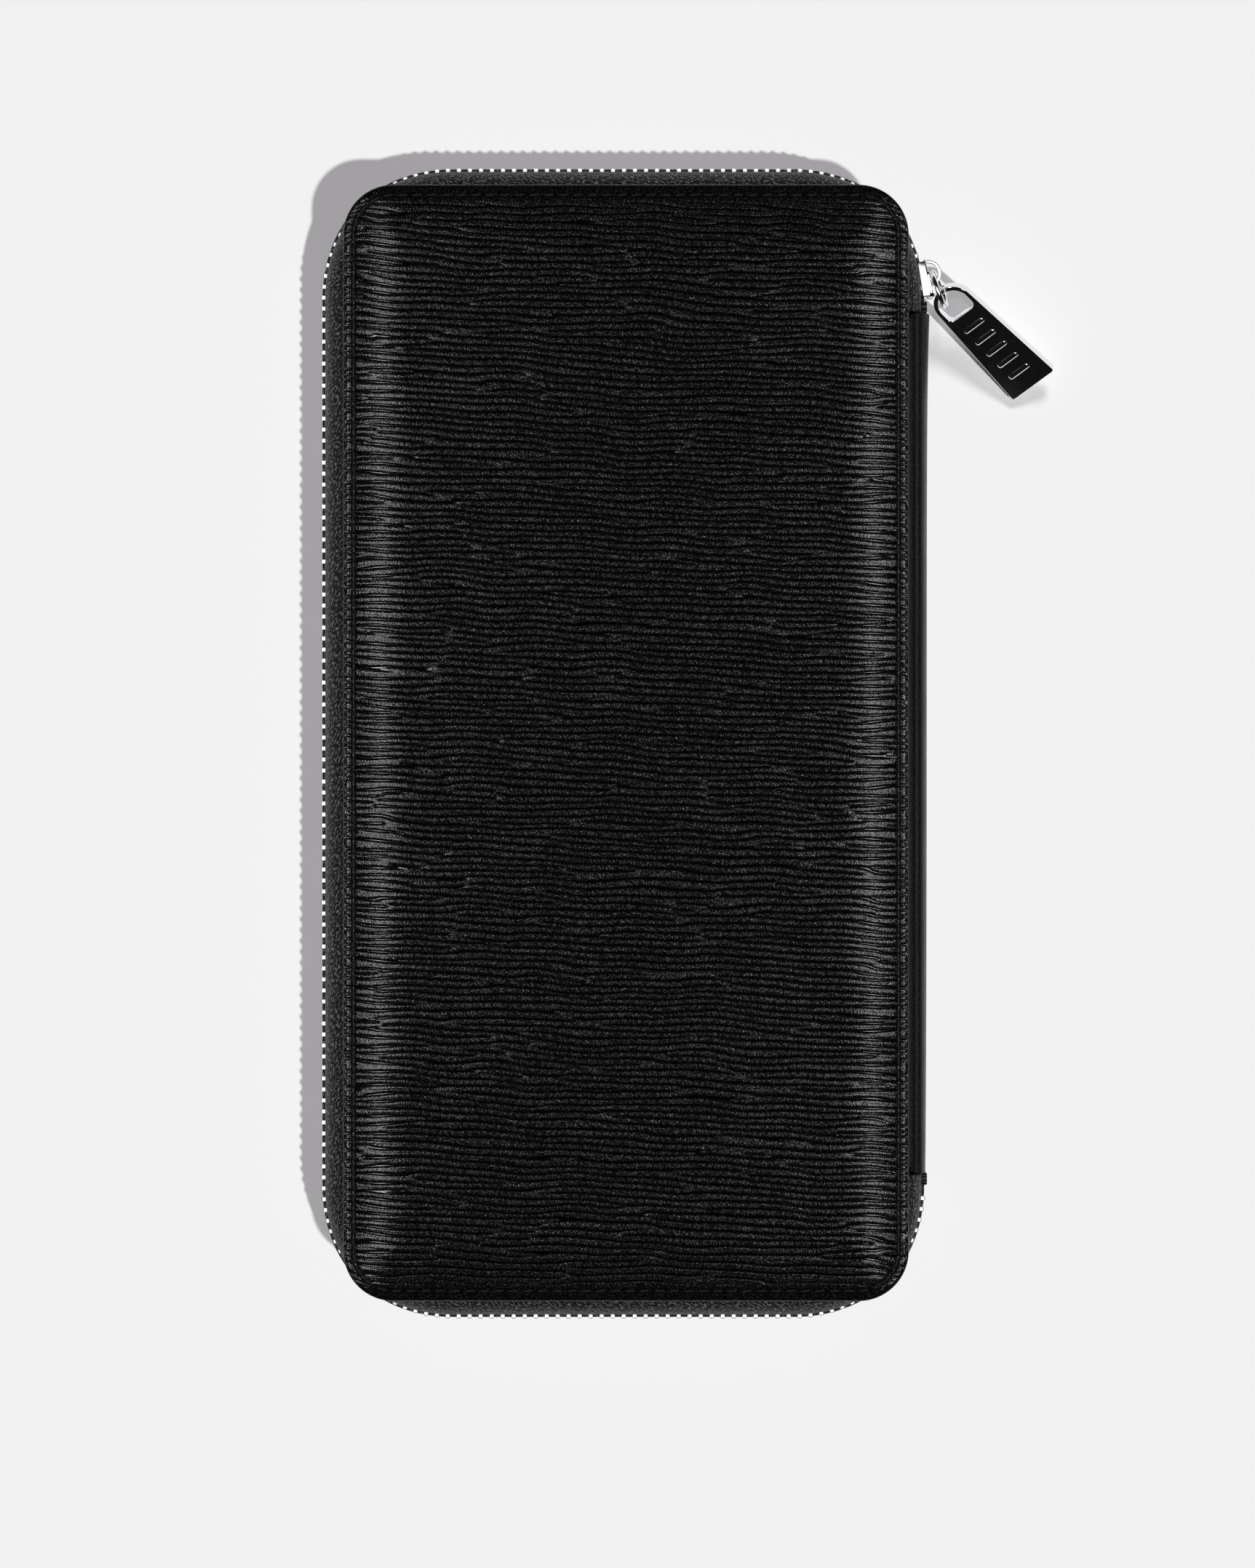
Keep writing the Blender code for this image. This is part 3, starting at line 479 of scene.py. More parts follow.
def bevelled_plate(outlines, half_thickness, bevel, matrix):
    """A flat plate with round edges from a 2D curve; every outline after the first is a hole."""
    curve = bpy.data.curves.new("plate", "CURVE")
    curve.dimensions = "2D"
    curve.fill_mode = "BOTH"
    curve.extrude = half_thickness - bevel
    curve.bevel_depth = bevel
    curve.bevel_resolution = 4
    curve.offset = -bevel
    for outline in outlines:
        spline = curve.splines.new("POLY")
        spline.points.add(len(outline) - 1)
        for point, (x, y) in zip(spline.points, outline):
            point.co = (x, y, 0, 1)
        spline.use_cyclic_u = True
    plate = bpy.data.objects.new("plate", curve)
    bpy.context.scene.collection.objects.link(plate)
    depsgraph = bpy.context.evaluated_depsgraph_get()
    mesh = bpy.data.meshes.new_from_object(plate.evaluated_get(depsgraph))
    points = np.array([v.co for v in mesh.vertices])
    faces = [list(p.vertices) for p in mesh.polygons]
    bpy.data.objects.remove(plate)
    bpy.data.curves.remove(curve)
    bpy.data.meshes.remove(mesh)
    return moved((points, faces), matrix)


def scatter(shape, origins, frames):
    """Copies of a small shape, one for each origin, turned by its three axes."""
    points, faces = np.asarray(shape[0]), shape[1]
    placed = np.einsum("pk,nkj->npj", points, frames) + origins[:, None, :]
    size = len(points)
    copies = [[k + n * size for k in face] for n in range(len(origins)) for face in faces]
    return placed.reshape(-1, 3), copies


# ---- pieces


def enclosed_volume(mesh):
    """Negative when the faces are wound inwards."""
    mesh.calc_loop_triangles()
    points = np.zeros(3 * len(mesh.vertices))
    mesh.vertices.foreach_get("co", points)
    corners = np.zeros(3 * len(mesh.loop_triangles), int)
    mesh.loop_triangles.foreach_get("vertices", corners)
    first, second, third = points.reshape(-1, 3)[corners.reshape(-1, 3)].transpose(1, 0, 2)
    return (first * np.cross(second, third)).sum() / 6


def set_uv(mesh, uv):
    layer = mesh.uv_layers.new(name="weave")
    corners = np.zeros(len(mesh.loops), int)
    mesh.loops.foreach_get("vertex_index", corners)
    layer.data.foreach_set("uv", np.asarray(uv)[corners].astype(np.float32).ravel())


def weld(mesh):
    """Merges points in the same place and turns every face outwards."""
    bm = bmesh.new()
    bm.from_mesh(mesh)
    bmesh.ops.remove_doubles(bm, verts=bm.verts[:], dist=1e-7)
    bmesh.ops.recalc_face_normals(bm, faces=bm.faces[:])
    bm.to_mesh(mesh)
    bm.free()


def new_piece(name, shape, look, body=None, node=None, sharp=None, uv=None, welded=False):
    """A piece that rides on a body and takes the place of a CAD node; a look is (material, slot), and its
    slot is not used.
    """
    points, faces = shape
    material, slot = look
    mesh = bpy.data.meshes.new(name)
    mesh.from_pydata(np.asarray(points).tolist(), [], faces)
    mesh.validate()
    if enclosed_volume(mesh) < 0:
        mesh.flip_normals()
    mesh.shade_smooth()
    if sharp:
        mesh.set_sharp_from_angle(angle=math.radians(sharp))
    if uv is not None:
        set_uv(mesh, uv)
    if welded:
        weld(mesh)
    mesh.materials.append(material)
    piece = bpy.data.objects.new(name, mesh)
    bpy.context.scene.collection.objects.link(piece)
    if body:
        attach(piece, body)
    if node:
        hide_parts(node)
    return piece


# ---- materials


def fill_socket(tree, socket, value):
    """Links another node's output, or sets a number or colour."""
    if isinstance(value, bpy.types.NodeSocket):
        tree.links.new(value, socket)
    elif isinstance(value, tuple) and len(value) == 3 and len(socket.default_value) == 4:
        socket.default_value = (*value, 1)
    else:
        socket.default_value = value


def add_node(tree, kind, inputs=None, **settings):
    node = tree.nodes.new(kind)
    for key, value in settings.items():
        setattr(node, key, value)
    for socket, value in (inputs or {}).items():
        fill_socket(tree, node.inputs[socket], value)
    return node


def remap(tree, value, low, high, to_low=0.0, to_high=1.0):
    inputs = {"Value": value, "From Min": low, "From Max": high, "To Min": to_low, "To Max": to_high}
    return add_node(tree, "ShaderNodeMapRange", inputs).outputs[0]


class Recipe:
    """A material being made, and the steps that the materials share. Sizes are in mm."""

    def __init__(self, name, colour, roughness, metallic=0.0, specular=0.5):
        self.material = bpy.data.materials.new(name)
        self.material.use_nodes = True
        self.tree = self.material.node_tree
        self.shader = self.tree.nodes["Principled BSDF"]
        self.set("Base Color", colour)
        self.set("Roughness", roughness)
        self.set("Metallic", metallic)
        self.set("Specular IOR Level", specular)

    def set(self, name, value):
        fill_socket(self.tree, self.shader.inputs[name], value)

    def node(self, kind, inputs=None, **settings):
        return add_node(self.tree, kind, inputs, **settings)

    def noise(self, sizes, detail=2.0, turn=0, kind="ShaderNodeTexNoise"):
        """Noise fixed to the object, with features of these sizes along axes turned about Z."""
        place = self.node("ShaderNodeTexCoord").outputs["Object"]
        rotation = {"Vector": place, "Rotation": (0, 0, math.radians(turn))}
        turned = self.node("ShaderNodeVectorRotate", rotation, rotation_type="EULER_XYZ")
        scale = [1 / (size * MM) for size in np.broadcast_to(sizes, 3).tolist()]
        mapped = self.node("ShaderNodeMapping", {"Vector": turned.outputs[0], "Scale": scale})
        noise = self.node(kind, {"Vector": mapped.outputs[0], "Scale": 1.0})
        if kind == "ShaderNodeTexNoise":
            noise.inputs["Detail"].default_value = detail
        return noise.outputs[0]

    def object_axes(self):
        place = self.node("ShaderNodeTexCoord").outputs["Object"]
        return self.node("ShaderNodeSeparateXYZ", {0: place}).outputs

    def weave_place(self):
        return self.node("ShaderNodeUVMap", uv_map="weave").outputs[0]

    def remap(self, value, low, high, to_low=0.0, to_high=1.0):
        return remap(self.tree, value, low, high, to_low, to_high)

    def maths(self, operation, first, second=0.0):
        return self.node("ShaderNodeMath", {0: first, 1: second}, operation=operation).outputs[0]

    def wave(self, value, pitch):
        return self.maths("SINE", self.maths("MULTIPLY", value, math.tau / (pitch * MM)))

    def crossed(self, first, second, share):
        """Two waves on top of each other, the second weaker, as a height from 0 to 1."""
        both = self.maths("ADD", first, self.maths("MULTIPLY", second, share))
        return self.remap(both, -1 - share, 1 + share)

    def mix(self, factor, first, second):
        mix = self.node("ShaderNodeMix", data_type="RGBA")
        for place, value in ((0, factor), (6, first), (7, second)):
            fill_socket(self.tree, mix.inputs[place], value)
        return mix.outputs[2]

    def bump(self, height, distance, before=None):
        inputs = {"Height": height, "Distance": distance * MM, "Strength": 1.0}
        if before is not None:
            inputs["Normal"] = before
        normal = self.node("ShaderNodeBump", inputs).outputs[0]
        self.set("Normal", normal)
        return normal


def ribbed_leather(name, glint_colour=CREST_GLINT_GREY, roughness=(0.1, 0.13), specular=0.5):
    """Black leather with painted shade in its rib valleys and painted glints as fine slanting strokes on
    its crests.
    """
    recipe = Recipe(name, BLACK, roughness[0], specular=specular)
    strokes = recipe.noise((0.2, 0.42, 0.35), 1.5, -32)
    pores = recipe.noise(0.2, 2.0)
    cloudy = recipe.noise((9, 5, 9), 3.0)
    valley = recipe.node("ShaderNodeAttribute", attribute_name="valley").outputs["Fac"]
    crest = recipe.remap(valley, 0.88, 0.26)
    # Painted glints: slanting strokes on the crests, lighter in the base colour
    flecks = recipe.maths("MULTIPLY", recipe.remap(strokes, 0.54, 0.66), crest)
    # Painted shade: the valleys keep BLACK and the crests take a lighter black
    leather = recipe.mix(crest, BLACK, LIT_CREST_BLACK)
    recipe.set("Base Color", recipe.mix(flecks, leather, glint_colour))
    recipe.set("Roughness", recipe.remap(cloudy, 0.3, 0.7, *roughness))
    first = recipe.bump(recipe.maths("MULTIPLY", strokes, crest), 0.05)
    recipe.bump(pores, 0.008, first)
    return recipe.material


def smooth_leather(name, grain=0.02):
    """Black leather with a fine pebbled grain."""
    recipe = Recipe(name, (0.03, 0.03, 0.031), 0.42)
    cells = recipe.noise(0.45, kind="ShaderNodeTexVoronoi")
    fine = recipe.noise(0.15, 3.0)
    cloudy = recipe.noise(12, 3.0)
    recipe.set("Base Color", recipe.mix(cloudy, (0.023, 0.023, 0.024), (0.038, 0.038, 0.039)))
    recipe.set("Roughness", recipe.remap(cloudy, 0.3, 0.7, 0.36, 0.48))
    first = recipe.bump(cells, grain)
    recipe.bump(fine, grain * 0.4, first)
    return recipe.material


def edge_paint_and_highlight(name):
    """The painted cut edge of the leather, greyer than its face: real edge paint, lightened as a painted
    highlight along the edge.
    """
    recipe = Recipe(name, (0.1, 0.1, 0.1), 0.35)
    smears = recipe.noise(1.5, 3.0)
    recipe.set("Base Color", recipe.mix(smears, (0.05, 0.05, 0.051), (0.16, 0.16, 0.163)))
    recipe.bump(smears, 0.03)
    return recipe.material


def zip_cloth(name):
    """Black woven tape: slanting flecks of painted sheen on its threads, between darker woven lines."""
    recipe = Recipe(name, (0.03, 0.03, 0.031), 0.6)
    place = recipe.weave_place()
    across = recipe.node("ShaderNodeSeparateXYZ", {0: place}).outputs[1]
    rotation = {"Vector": place, "Angle": math.radians(28)}
    turned = recipe.node("ShaderNodeVectorRotate", rotation, rotation_type="Z_AXIS").outputs[0]
    stretched = recipe.node("ShaderNodeMapping", {"Vector": turned, "Scale": FLECKS_PER_METRE}).outputs[0]
    texture = {"Vector": stretched, "Scale": 1.0, "Detail": 1.5}
    thread_sheen_flecks = recipe.node("ShaderNodeTexNoise", texture).outputs[0]
    line_dip = recipe.remap(recipe.maths("PINGPONG", across, 0.7 * MM), 0.0, 0.15 * MM, 0.35, 1.0)
    # Painted sheen: lighter thread flecks in the base colour, fewer on the woven lines
    lit = recipe.maths("MULTIPLY", recipe.remap(thread_sheen_flecks, 0.51, 0.61), line_dip)
    recipe.set("Base Color", recipe.mix(lit, (0.001, 0.001, 0.001), (0.32, 0.32, 0.324)))
    recipe.bump(lit, 0.3)
    return recipe.material


def lining_cloth(name):
    """Fine black twill, drawn across the flat of each panel."""
    recipe = Recipe(name, (0.02, 0.02, 0.021), 0.85)
    x, y, _ = recipe.object_axes()
    twill = recipe.wave(recipe.maths("ADD", x, recipe.maths("MULTIPLY", y, 0.55)), 0.55)
    weave = recipe.crossed(twill, recipe.wave(y, 0.3), 0.4)
    fleck = recipe.noise((0.4, 0.2, 0.4), 2.0)
    lit = recipe.maths("MULTIPLY", weave, recipe.remap(fleck, 0.3, 0.7, 0.4, 1.1))
    recipe.set("Base Color", recipe.mix(lit, (0.012, 0.012, 0.013), (0.085, 0.085, 0.09)))
    recipe.set("Sheen Weight", 0.25)
    recipe.bump(weave, 0.07)
    return recipe.material


def polished_metal(name, colour=(0.86, 0.86, 0.88), roughness=0.12):
    """Bright plated metal with faint polishing haze and hairlines."""
    recipe = Recipe(name, colour, roughness, 1.0)
    haze = recipe.noise(3, 3.0)
    hairs = recipe.noise((0.08, 1.2, 0.3), 2.0, 40)
    hazy = recipe.remap(haze, 0.3, 0.7, roughness * 0.7, roughness * 1.2)
    recipe.set("Roughness", recipe.maths("ADD", hazy, recipe.remap(hairs, 0.55, 0.8, 0.0, 0.08)))
    recipe.bump(haze, 0.01)
    return recipe.material


def thread(name):
    """Waxed black sewing thread, twisted."""
    recipe = Recipe(name, (0.008, 0.008, 0.008), 0.5)
    twist = recipe.noise((0.12, 0.5, 0.2), 1.0, 50)
    recipe.set("Base Color", recipe.mix(twist, (0.004, 0.004, 0.004), (0.016, 0.016, 0.016)))
    recipe.bump(twist, 0.04)
    return recipe.material


def fibre_board(name):
    recipe = Recipe(name, (0.25, 0.24, 0.22), 0.9)
    fibres = recipe.noise((0.4, 3, 0.4), 4.0, 20)
    recipe.set("Base Color", recipe.mix(fibres, (0.17, 0.16, 0.14), (0.33, 0.31, 0.28)))
    recipe.bump(fibres, 0.05)
    return recipe.material


def elastic_cloth(name):
    """Ribbed elastic, its ribs running round the loop."""
    recipe = Recipe(name, (0.02, 0.02, 0.021), 0.8)
    along, around, _ = recipe.node("ShaderNodeSeparateXYZ", {0: recipe.weave_place()}).outputs
    weave = recipe.crossed(recipe.wave(along, 0.8), recipe.wave(around, 0.5), 0.5)
    recipe.set("Base Color", recipe.mix(weave, (0.008, 0.008, 0.009), (0.05, 0.05, 0.052)))
    recipe.bump(weave, 0.1)
    return recipe.material


def floor_paint(name):
    recipe = Recipe(name, (0.8, 0.8, 0.8), 0.95, specular=0.0)
    mottle = recipe.noise(400, 2.0)
    recipe.set("Base Color", recipe.mix(mottle, (0.797, 0.797, 0.798), (0.803, 0.803, 0.803)))
    return recipe.material


LEATHER = (ribbed_leather("ribbed_leather"), "leather")
# The spine's leather carries dimmer painted glints
SPINE_LEATHER = (ribbed_leather("spine_leather", (0.035, 0.035, 0.036), (0.4, 0.48), 0.22), "leather")
SMOOTH = (smooth_leather("smooth_leather"), "pocket_leather")
# Real edge paint, lightened as a painted highlight along the edge
EDGE_PAINT_AND_HIGHLIGHT = (edge_paint_and_highlight("edge_paint_and_highlight"), None)
ZIP_CLOTH = (zip_cloth("zip_cloth"), "zip_cloth")
LINING = (lining_cloth("lining_cloth"), "lining_cloth")
METAL = (polished_metal("polished_metal"), "polished_metal")
TEETH_METAL = (polished_metal("teeth_metal", SILVER, 0.2), "polished_metal")
SATIN_METAL = (polished_metal("satin_metal", SILVER, 0.38), "polished_metal")
THREAD = (thread("thread"), None)
BOARD = (fibre_board("fibre_board"), "stiffener")
ELASTIC = (elastic_cloth("elastic"), "elastic")


# ---- ribbed leather relief


def rib_field(seed, pitch=RIB_PITCH):
    """A periodic field of waves along Y, about one pitch long; its angle is the place within a rib."""
    random = np.random.default_rng(seed)
    shape = FIELD_CELLS[::-1]
    noise = random.standard_normal(shape) + 1j * random.standard_normal(shape)
    waves_y = np.fft.fftfreq(FIELD_CELLS[1], FIELD_SIZE[1] / FIELD_CELLS[1])[:, None]
    waves_x = np.fft.fftfreq(FIELD_CELLS[0], FIELD_SIZE[0] / FIELD_CELLS[0])[None, :]
    off_pitch = (waves_y - 1 / pitch) * pitch / RIB_PITCH_SPREAD
    band = np.exp(-(off_pitch**2 + (waves_x / RIB_WANDER) ** 2) / 2)
    field = np.fft.ifft2(np.fft.fft2(noise) * band)
    return field / np.abs(field).mean()


def sample_field(field, x, y):
    """The field at points, by linear steps between its cells."""
    column = (x / FIELD_SIZE[0] * FIELD_CELLS[0]) % FIELD_CELLS[0]
    row = (y / FIELD_SIZE[1] * FIELD_CELLS[1]) % FIELD_CELLS[1]
    left = np.floor(column).astype(int)
    below = np.floor(row).astype(int)
    share_x = column - left
    share_y = row - below
    left %= FIELD_CELLS[0]
    below %= FIELD_CELLS[1]
    right = (left + 1) % FIELD_CELLS[0]
    above = (below + 1) % FIELD_CELLS[1]
    lower = field[below, left] * (1 - share_x) + field[below, right] * share_x
    upper = field[above, left] * (1 - share_x) + field[above, right] * share_x
    return lower * (1 - share_y) + upper * share_y


def rib_valleys(field, x, y, pitch=RIB_PITCH):
    """0 on a rib's crest and up to about 1 in the narrow valley between two."""
    wave = sample_field(field, x, y)
    strength = np.clip(np.abs(wave) * VALLEY_FADE, 0.0, 1.0)
    from_middle = np.pi - np.abs(np.angle(wave))
    narrow = ridge(from_middle * pitch / math.tau, VALLEY_HALF)
    broad = 0.5 + 0.5 * np.cos(from_middle)
    return (narrow * (1 - RIB_ROUNDING) + broad * RIB_ROUNDING) * strength


def slow_swell(x, y, seed):
    """Gentle unevenness, between about -1 and 1."""
    random = np.random.default_rng(seed)
    total = np.zeros_like(x)
    for _ in range(SWELLS):
        length = random.uniform(14, 45) * MM
        angle = random.uniform(0, math.pi)
        phase = random.uniform(0, math.tau)
        total += np.sin((x * math.cos(angle) + y * math.sin(angle)) * math.tau / length + phase)
    return total / 4


# Stores the valley mask, by which the leather's material paints shade into its valleys
def set_valley_shade(piece, valleys):
    values = np.zeros(len(piece.data.vertices), np.float32)
    values[: valleys.size] = np.clip(valleys.ravel(), 0, 1)
    attribute = piece.data.attributes.new("valley", "FLOAT", "POINT")
    attribute.data.foreach_set("value", values)


# ---- panels with a round outline


def panel_grid(half_x, half_y, corner, step, insets, middle):
    """Rows of points over a rounded rectangle: every row starts and ends on the outline."""
    straight = half_y - corner
    angles = np.linspace(0, QUARTER, max(3, round(QUARTER * corner / step)) + 1)[1:]
    y_end = straight + corner * np.sin(angles)
    width_end = half_x - corner + corner * np.cos(angles)
    y_middle = np.linspace(-straight, straight, max(2, round(2 * straight / step)) + 1)
    y = np.concatenate((-y_end[::-1], y_middle, y_end))
    width = np.concatenate((width_end[::-1], np.full(len(y_middle), half_x), width_end))
    centre = np.linspace(-1, 1, middle + 2)[1:-1][None, :] * (width[:, None] - insets[-1])
    left = insets[None, :] - width[:, None]
    right = width[:, None] - insets[None, ::-1]
    x = np.hstack((left, centre, right))
    return x, np.broadcast_to(y[:, None], x.shape).copy()


def inset_of(x, y, half_x, half_y, corner):
    """How far points lie inside the outline."""
    over_x = np.abs(x) - (half_x - corner)
    over_y = np.abs(y) - (half_y - corner)
    outside = np.hypot(np.maximum(over_x, 0), np.maximum(over_y, 0))
    inside = np.minimum(np.maximum(over_x, over_y), 0)
    return corner - outside - inside


def closed_panel(x, y, height, outline, rims):
    """The rows as a face that looks up, rims round its edge as (inset, height), and a flat underside."""
    half = np.array(outline[:2])
    corner = outline[2]
    index = point_numbers(*x.shape)
    top = np.stack((x, y, height), -1).reshape(-1, 3)
    loop = boundary(index)
    edge = top[loop][:, :2]
    centre = np.clip(edge, corner - half, half - corner)
    spoke = (edge - centre) / corner
    points, faces, previous = [top], grid_faces(index), loop
    start = index.size
    for inset, rim_height in rims:
        rounding = max(corner - inset, 0.3 * MM)
        place = centre * (half - inset - rounding) / (half - corner) + spoke * rounding
        points.append(np.column_stack((place, np.full(len(loop), rim_height))))
        ring = np.arange(start, start + len(loop))
        faces += rim_faces(previous, ring)
        previous = ring
        start += len(loop)
    faces.append(previous[::-1].tolist())
    return np.vstack(points), faces


def rounded_path(outline, inset, height, step=0.5 * MM, least_corner=0.0):
    """A closed line of points inside a rounded rectangle's outline, evenly spaced."""
    half_x, half_y, corner = (size - inset for size in outline)
    line = np.array(round_rectangle(half_x, half_y, max(corner, least_corner), 24))
    line = np.vstack((line, line[:1]))
    lengths = distances_along(line)
    places = np.linspace(0, lengths[-1], round(lengths[-1] / step), endpoint=False)
    return np.column_stack((at_places(places, lengths, line), np.full(len(places), height)))


def cord_along(path, radius, sides=10):
    """A round cord along a closed level line of points."""
    along = unit(np.roll(path, -1, axis=0) - np.roll(path, 1, axis=0))
    across = np.column_stack((along[:, 1], -along[:, 0], np.zeros(len(path))))
    angles = np.linspace(0, math.tau, sides, endpoint=False)
    rings = path[:, None, :] + radius * across[:, None, :] * np.cos(angles)[None, :, None]
    rings[..., 2] += radius * np.sin(angles)[None, :]
    return ring_of_tubes(rings)


def stitch_shape(length, radius, sides=8):
    """One stitch: a short thread with round ends, along X."""
    rings = []
    for place, size in ((-1, 0.3), (-0.86, 0.8), (-0.5, 1), (0.5, 1), (0.86, 0.8), (1, 0.3)):
        section = arc((0, 0), (size * radius, size * radius), 0, 360, sides)[:-1]
        rings.append([(place * length / 2, y, z) for y, z in section])
    return loft(rings)


def stitches(path, closed, pitch=STITCH_PITCH, length=STITCH_LENGTH, radius=STITCH_RADIUS):
    """Stitches along a level line of points, each turned a little off the line."""
    line = np.vstack((path, path[:1])) if closed else np.asarray(path)
    lengths = distances_along(line)
    count = max(1, round(lengths[-1] / pitch))
    places = (np.arange(count) + 0.5) * lengths[-1] / count
    near = at_places(places - 0.2 * pitch, lengths, line)
    far = at_places(places + 0.2 * pitch, lengths, line)
    along = unit(far - near)
    upwards = np.broadcast_to((0.0, 0.0, 1.0), along.shape)
    turned = along * math.cos(STITCH_SLANT) + np.cross(upwards, along) * math.sin(STITCH_SLANT)
    frames = np.stack((turned, np.cross(upwards, turned), upwards), 1)
    return scatter(stitch_shape(length, radius), (near + far) / 2, frames)


# ---- covers


def cover_ribs(x, y, seed):
    """Valleys of the ribs and creases, gathered in waves towards the long sides."""
    warp = RIB_WARP * slow_swell(x, y, seed + 50)
    across = y + GATHERS_WARP * slow_swell(x, y, seed + 60)
    gathered = ramp(np.abs(x), COVER_HALF_X - GATHERS_TO, GATHERS_TO)
    shifted = y + RIB_TILT * x + warp
    shifted += GATHERS * gathered * np.sin(math.tau * across / GATHERS_PITCH)
    valleys = rib_valleys(rib_field(seed), x, shifted)
    creases = rib_valleys(rib_field(seed + 30, CREASE_PITCH), x, shifted, CREASE_PITCH)
    return np.maximum(valleys, CREASE_DEPTH * creases)


def cover_relief(x, y, seed):
    """Height of the leather above the crown's plane, and how deep in a valley each point is, with painted
    shade added near each short edge.
    """
    inset = inset_of(x, y, *COVER_OUTLINE)
    slope = 1 - ramp(inset, GROOVE_INSET, CROWN_INSET - GROOVE_INSET)
    height = BORDER_TILT * np.minimum(inset - GROOVE_INSET, 0) - CROWN_DROP * slope**2
    for ridge_height, at, half, power in BORDER_RIDGES:
        height += ridge_height * ridge(inset - at, half, power)
    height += SWELL_HEIGHT * slow_swell(x, y, seed) * ramp(inset, *SWELL_RAMP)
    ribbed = ramp(inset, *RIBS_RAMP)
    ribbed *= 1 - SEAM_PRESS * ridge(inset - GROOVE_INSET, SEAM_PRESS_HALF)
    ribbed *= np.where(inset < GROOVE_INSET, BORDER_RIBS, 1.0)
    plain_end = 1 - ramp(COVER_HALF_Y - np.abs(y), *PLAIN_END)
    valleys = cover_ribs(x, y, seed) * ribbed * (1 - PLAIN_FADE * plain_end)
    return height - RIB_DEPTH * valleys, np.maximum(valleys, PLAIN_END_PAINTED_SHADE * plain_end)


def make_cover(side, place):
    """The ribbed leather of a cover, its stitches and its painted edge."""
    x, y = panel_grid(*COVER_OUTLINE, COVER_STEP[side], COVER_INSETS, COVER_COLUMNS)
    height, valleys = cover_relief(x, y, COVER_SEED[side])
    rims = [(inset, -depth) for inset, depth in COVER_RIMS]
    shape = moved(closed_panel(x, y, height, COVER_OUTLINE, rims), place)
    cover = new_piece(f"{side}_cover_leather", shape, LEATHER, side, f"{side}_cover")
    # The mask paints shade into the rib valleys and near each short edge
    set_valley_shade(cover, valleys)
    seam = rounded_path(COVER_OUTLINE, GROOVE_INSET, -CROWN_DROP - STITCH_DEPTH)
    new_piece(f"{side}_cover_stitches", moved(stitches(seam, True), place), THREAD, side)
    # The edge cord's grey is real edge paint and partly a painted highlight
    edge = rounded_path(COVER_OUTLINE, EDGE_RADIUS, -CROWN_DROP - EDGE_DEPTH)
    new_piece(f"{side}_cover_edge", moved(cord_along(edge, EDGE_RADIUS), place), EDGE_PAINT_AND_HIGHLIGHT, side)


# ---- zip tapes and teeth


def corner_stations(centre_x, start, end, step=0.8 * MM):
    """Points round an upper corner of the chain, and the directions out of it."""
    count = max(2, round(abs(end - start) * ZIP_CORNER / step))
    angles = np.linspace(start, end, count + 1)
    out = np.column_stack((np.cos(angles), np.sin(angles)))
    return np.array((centre_x, ZIP_CENTRE_Y)) + ZIP_CORNER * out, out


def straight_stations(start, end, out, step=1.2 * MM):
    count = max(2, round(math.dist(start, end) / step))
    places = np.linspace(start, end, count + 1)[1:-1]
    return places, np.broadcast_to(np.array(out, float), places.shape)


def spine_stations():
    """The chain's straight line from the upper end of the spine to its corner."""
    straight = np.linspace((ZIP_RIGHT, SPINE_HALF_Y + SPINE_GAP), (ZIP_RIGHT, ZIP_CENTRE_Y), 5)[:-1]
    return straight, np.broadcast_to((1.0, 0.0), straight.shape)


def one_line(*stations):
    """Stretches of the chain's line as one."""
    return np.vstack([points for points, _ in stations]), np.vstack([out for _, out in stations])


def chain_line(from_angle):
    """The chain's line round the open sides, from an angle on the upper spine-side corner to its mirror."""
    left = ZIP_LEFT + ZIP_CORNER
    points, out = one_line(
        corner_stations(ZIP_CENTRE_X, from_angle, QUARTER),
        straight_stations((ZIP_CENTRE_X, ZIP_HALF_Y), (left, ZIP_HALF_Y), (0, 1)),
        corner_stations(left, QUARTER, 2 * QUARTER),
    )
    side = straight_stations((ZIP_LEFT, ZIP_CENTRE_Y), (ZIP_LEFT, -ZIP_CENTRE_Y), (-1, 0))
    return one_line((points, out), side, (points[::-1] * MIRROR_Y, out[::-1] * MIRROR_Y))


def spine_end_line(side):
    """The chain's line from the end of the spine to the loose end on the corner beside it."""
    points, out = one_line(spine_stations(), corner_stations(ZIP_CENTRE_X, 0, LOOSE_END))
    return points * (1, side), out * (1, side)


def seam_points(points, out):
    """Where a line straight in from the chain meets the tape's seam on the cover."""
    place = points.copy()
    for _ in range(SEAM_TRIES):
        depth = inset_of(place[:, 0], place[:, 1], *COVER_OUTLINE)
        place += out * (depth - SEAM_INSET)[:, None]
    return place


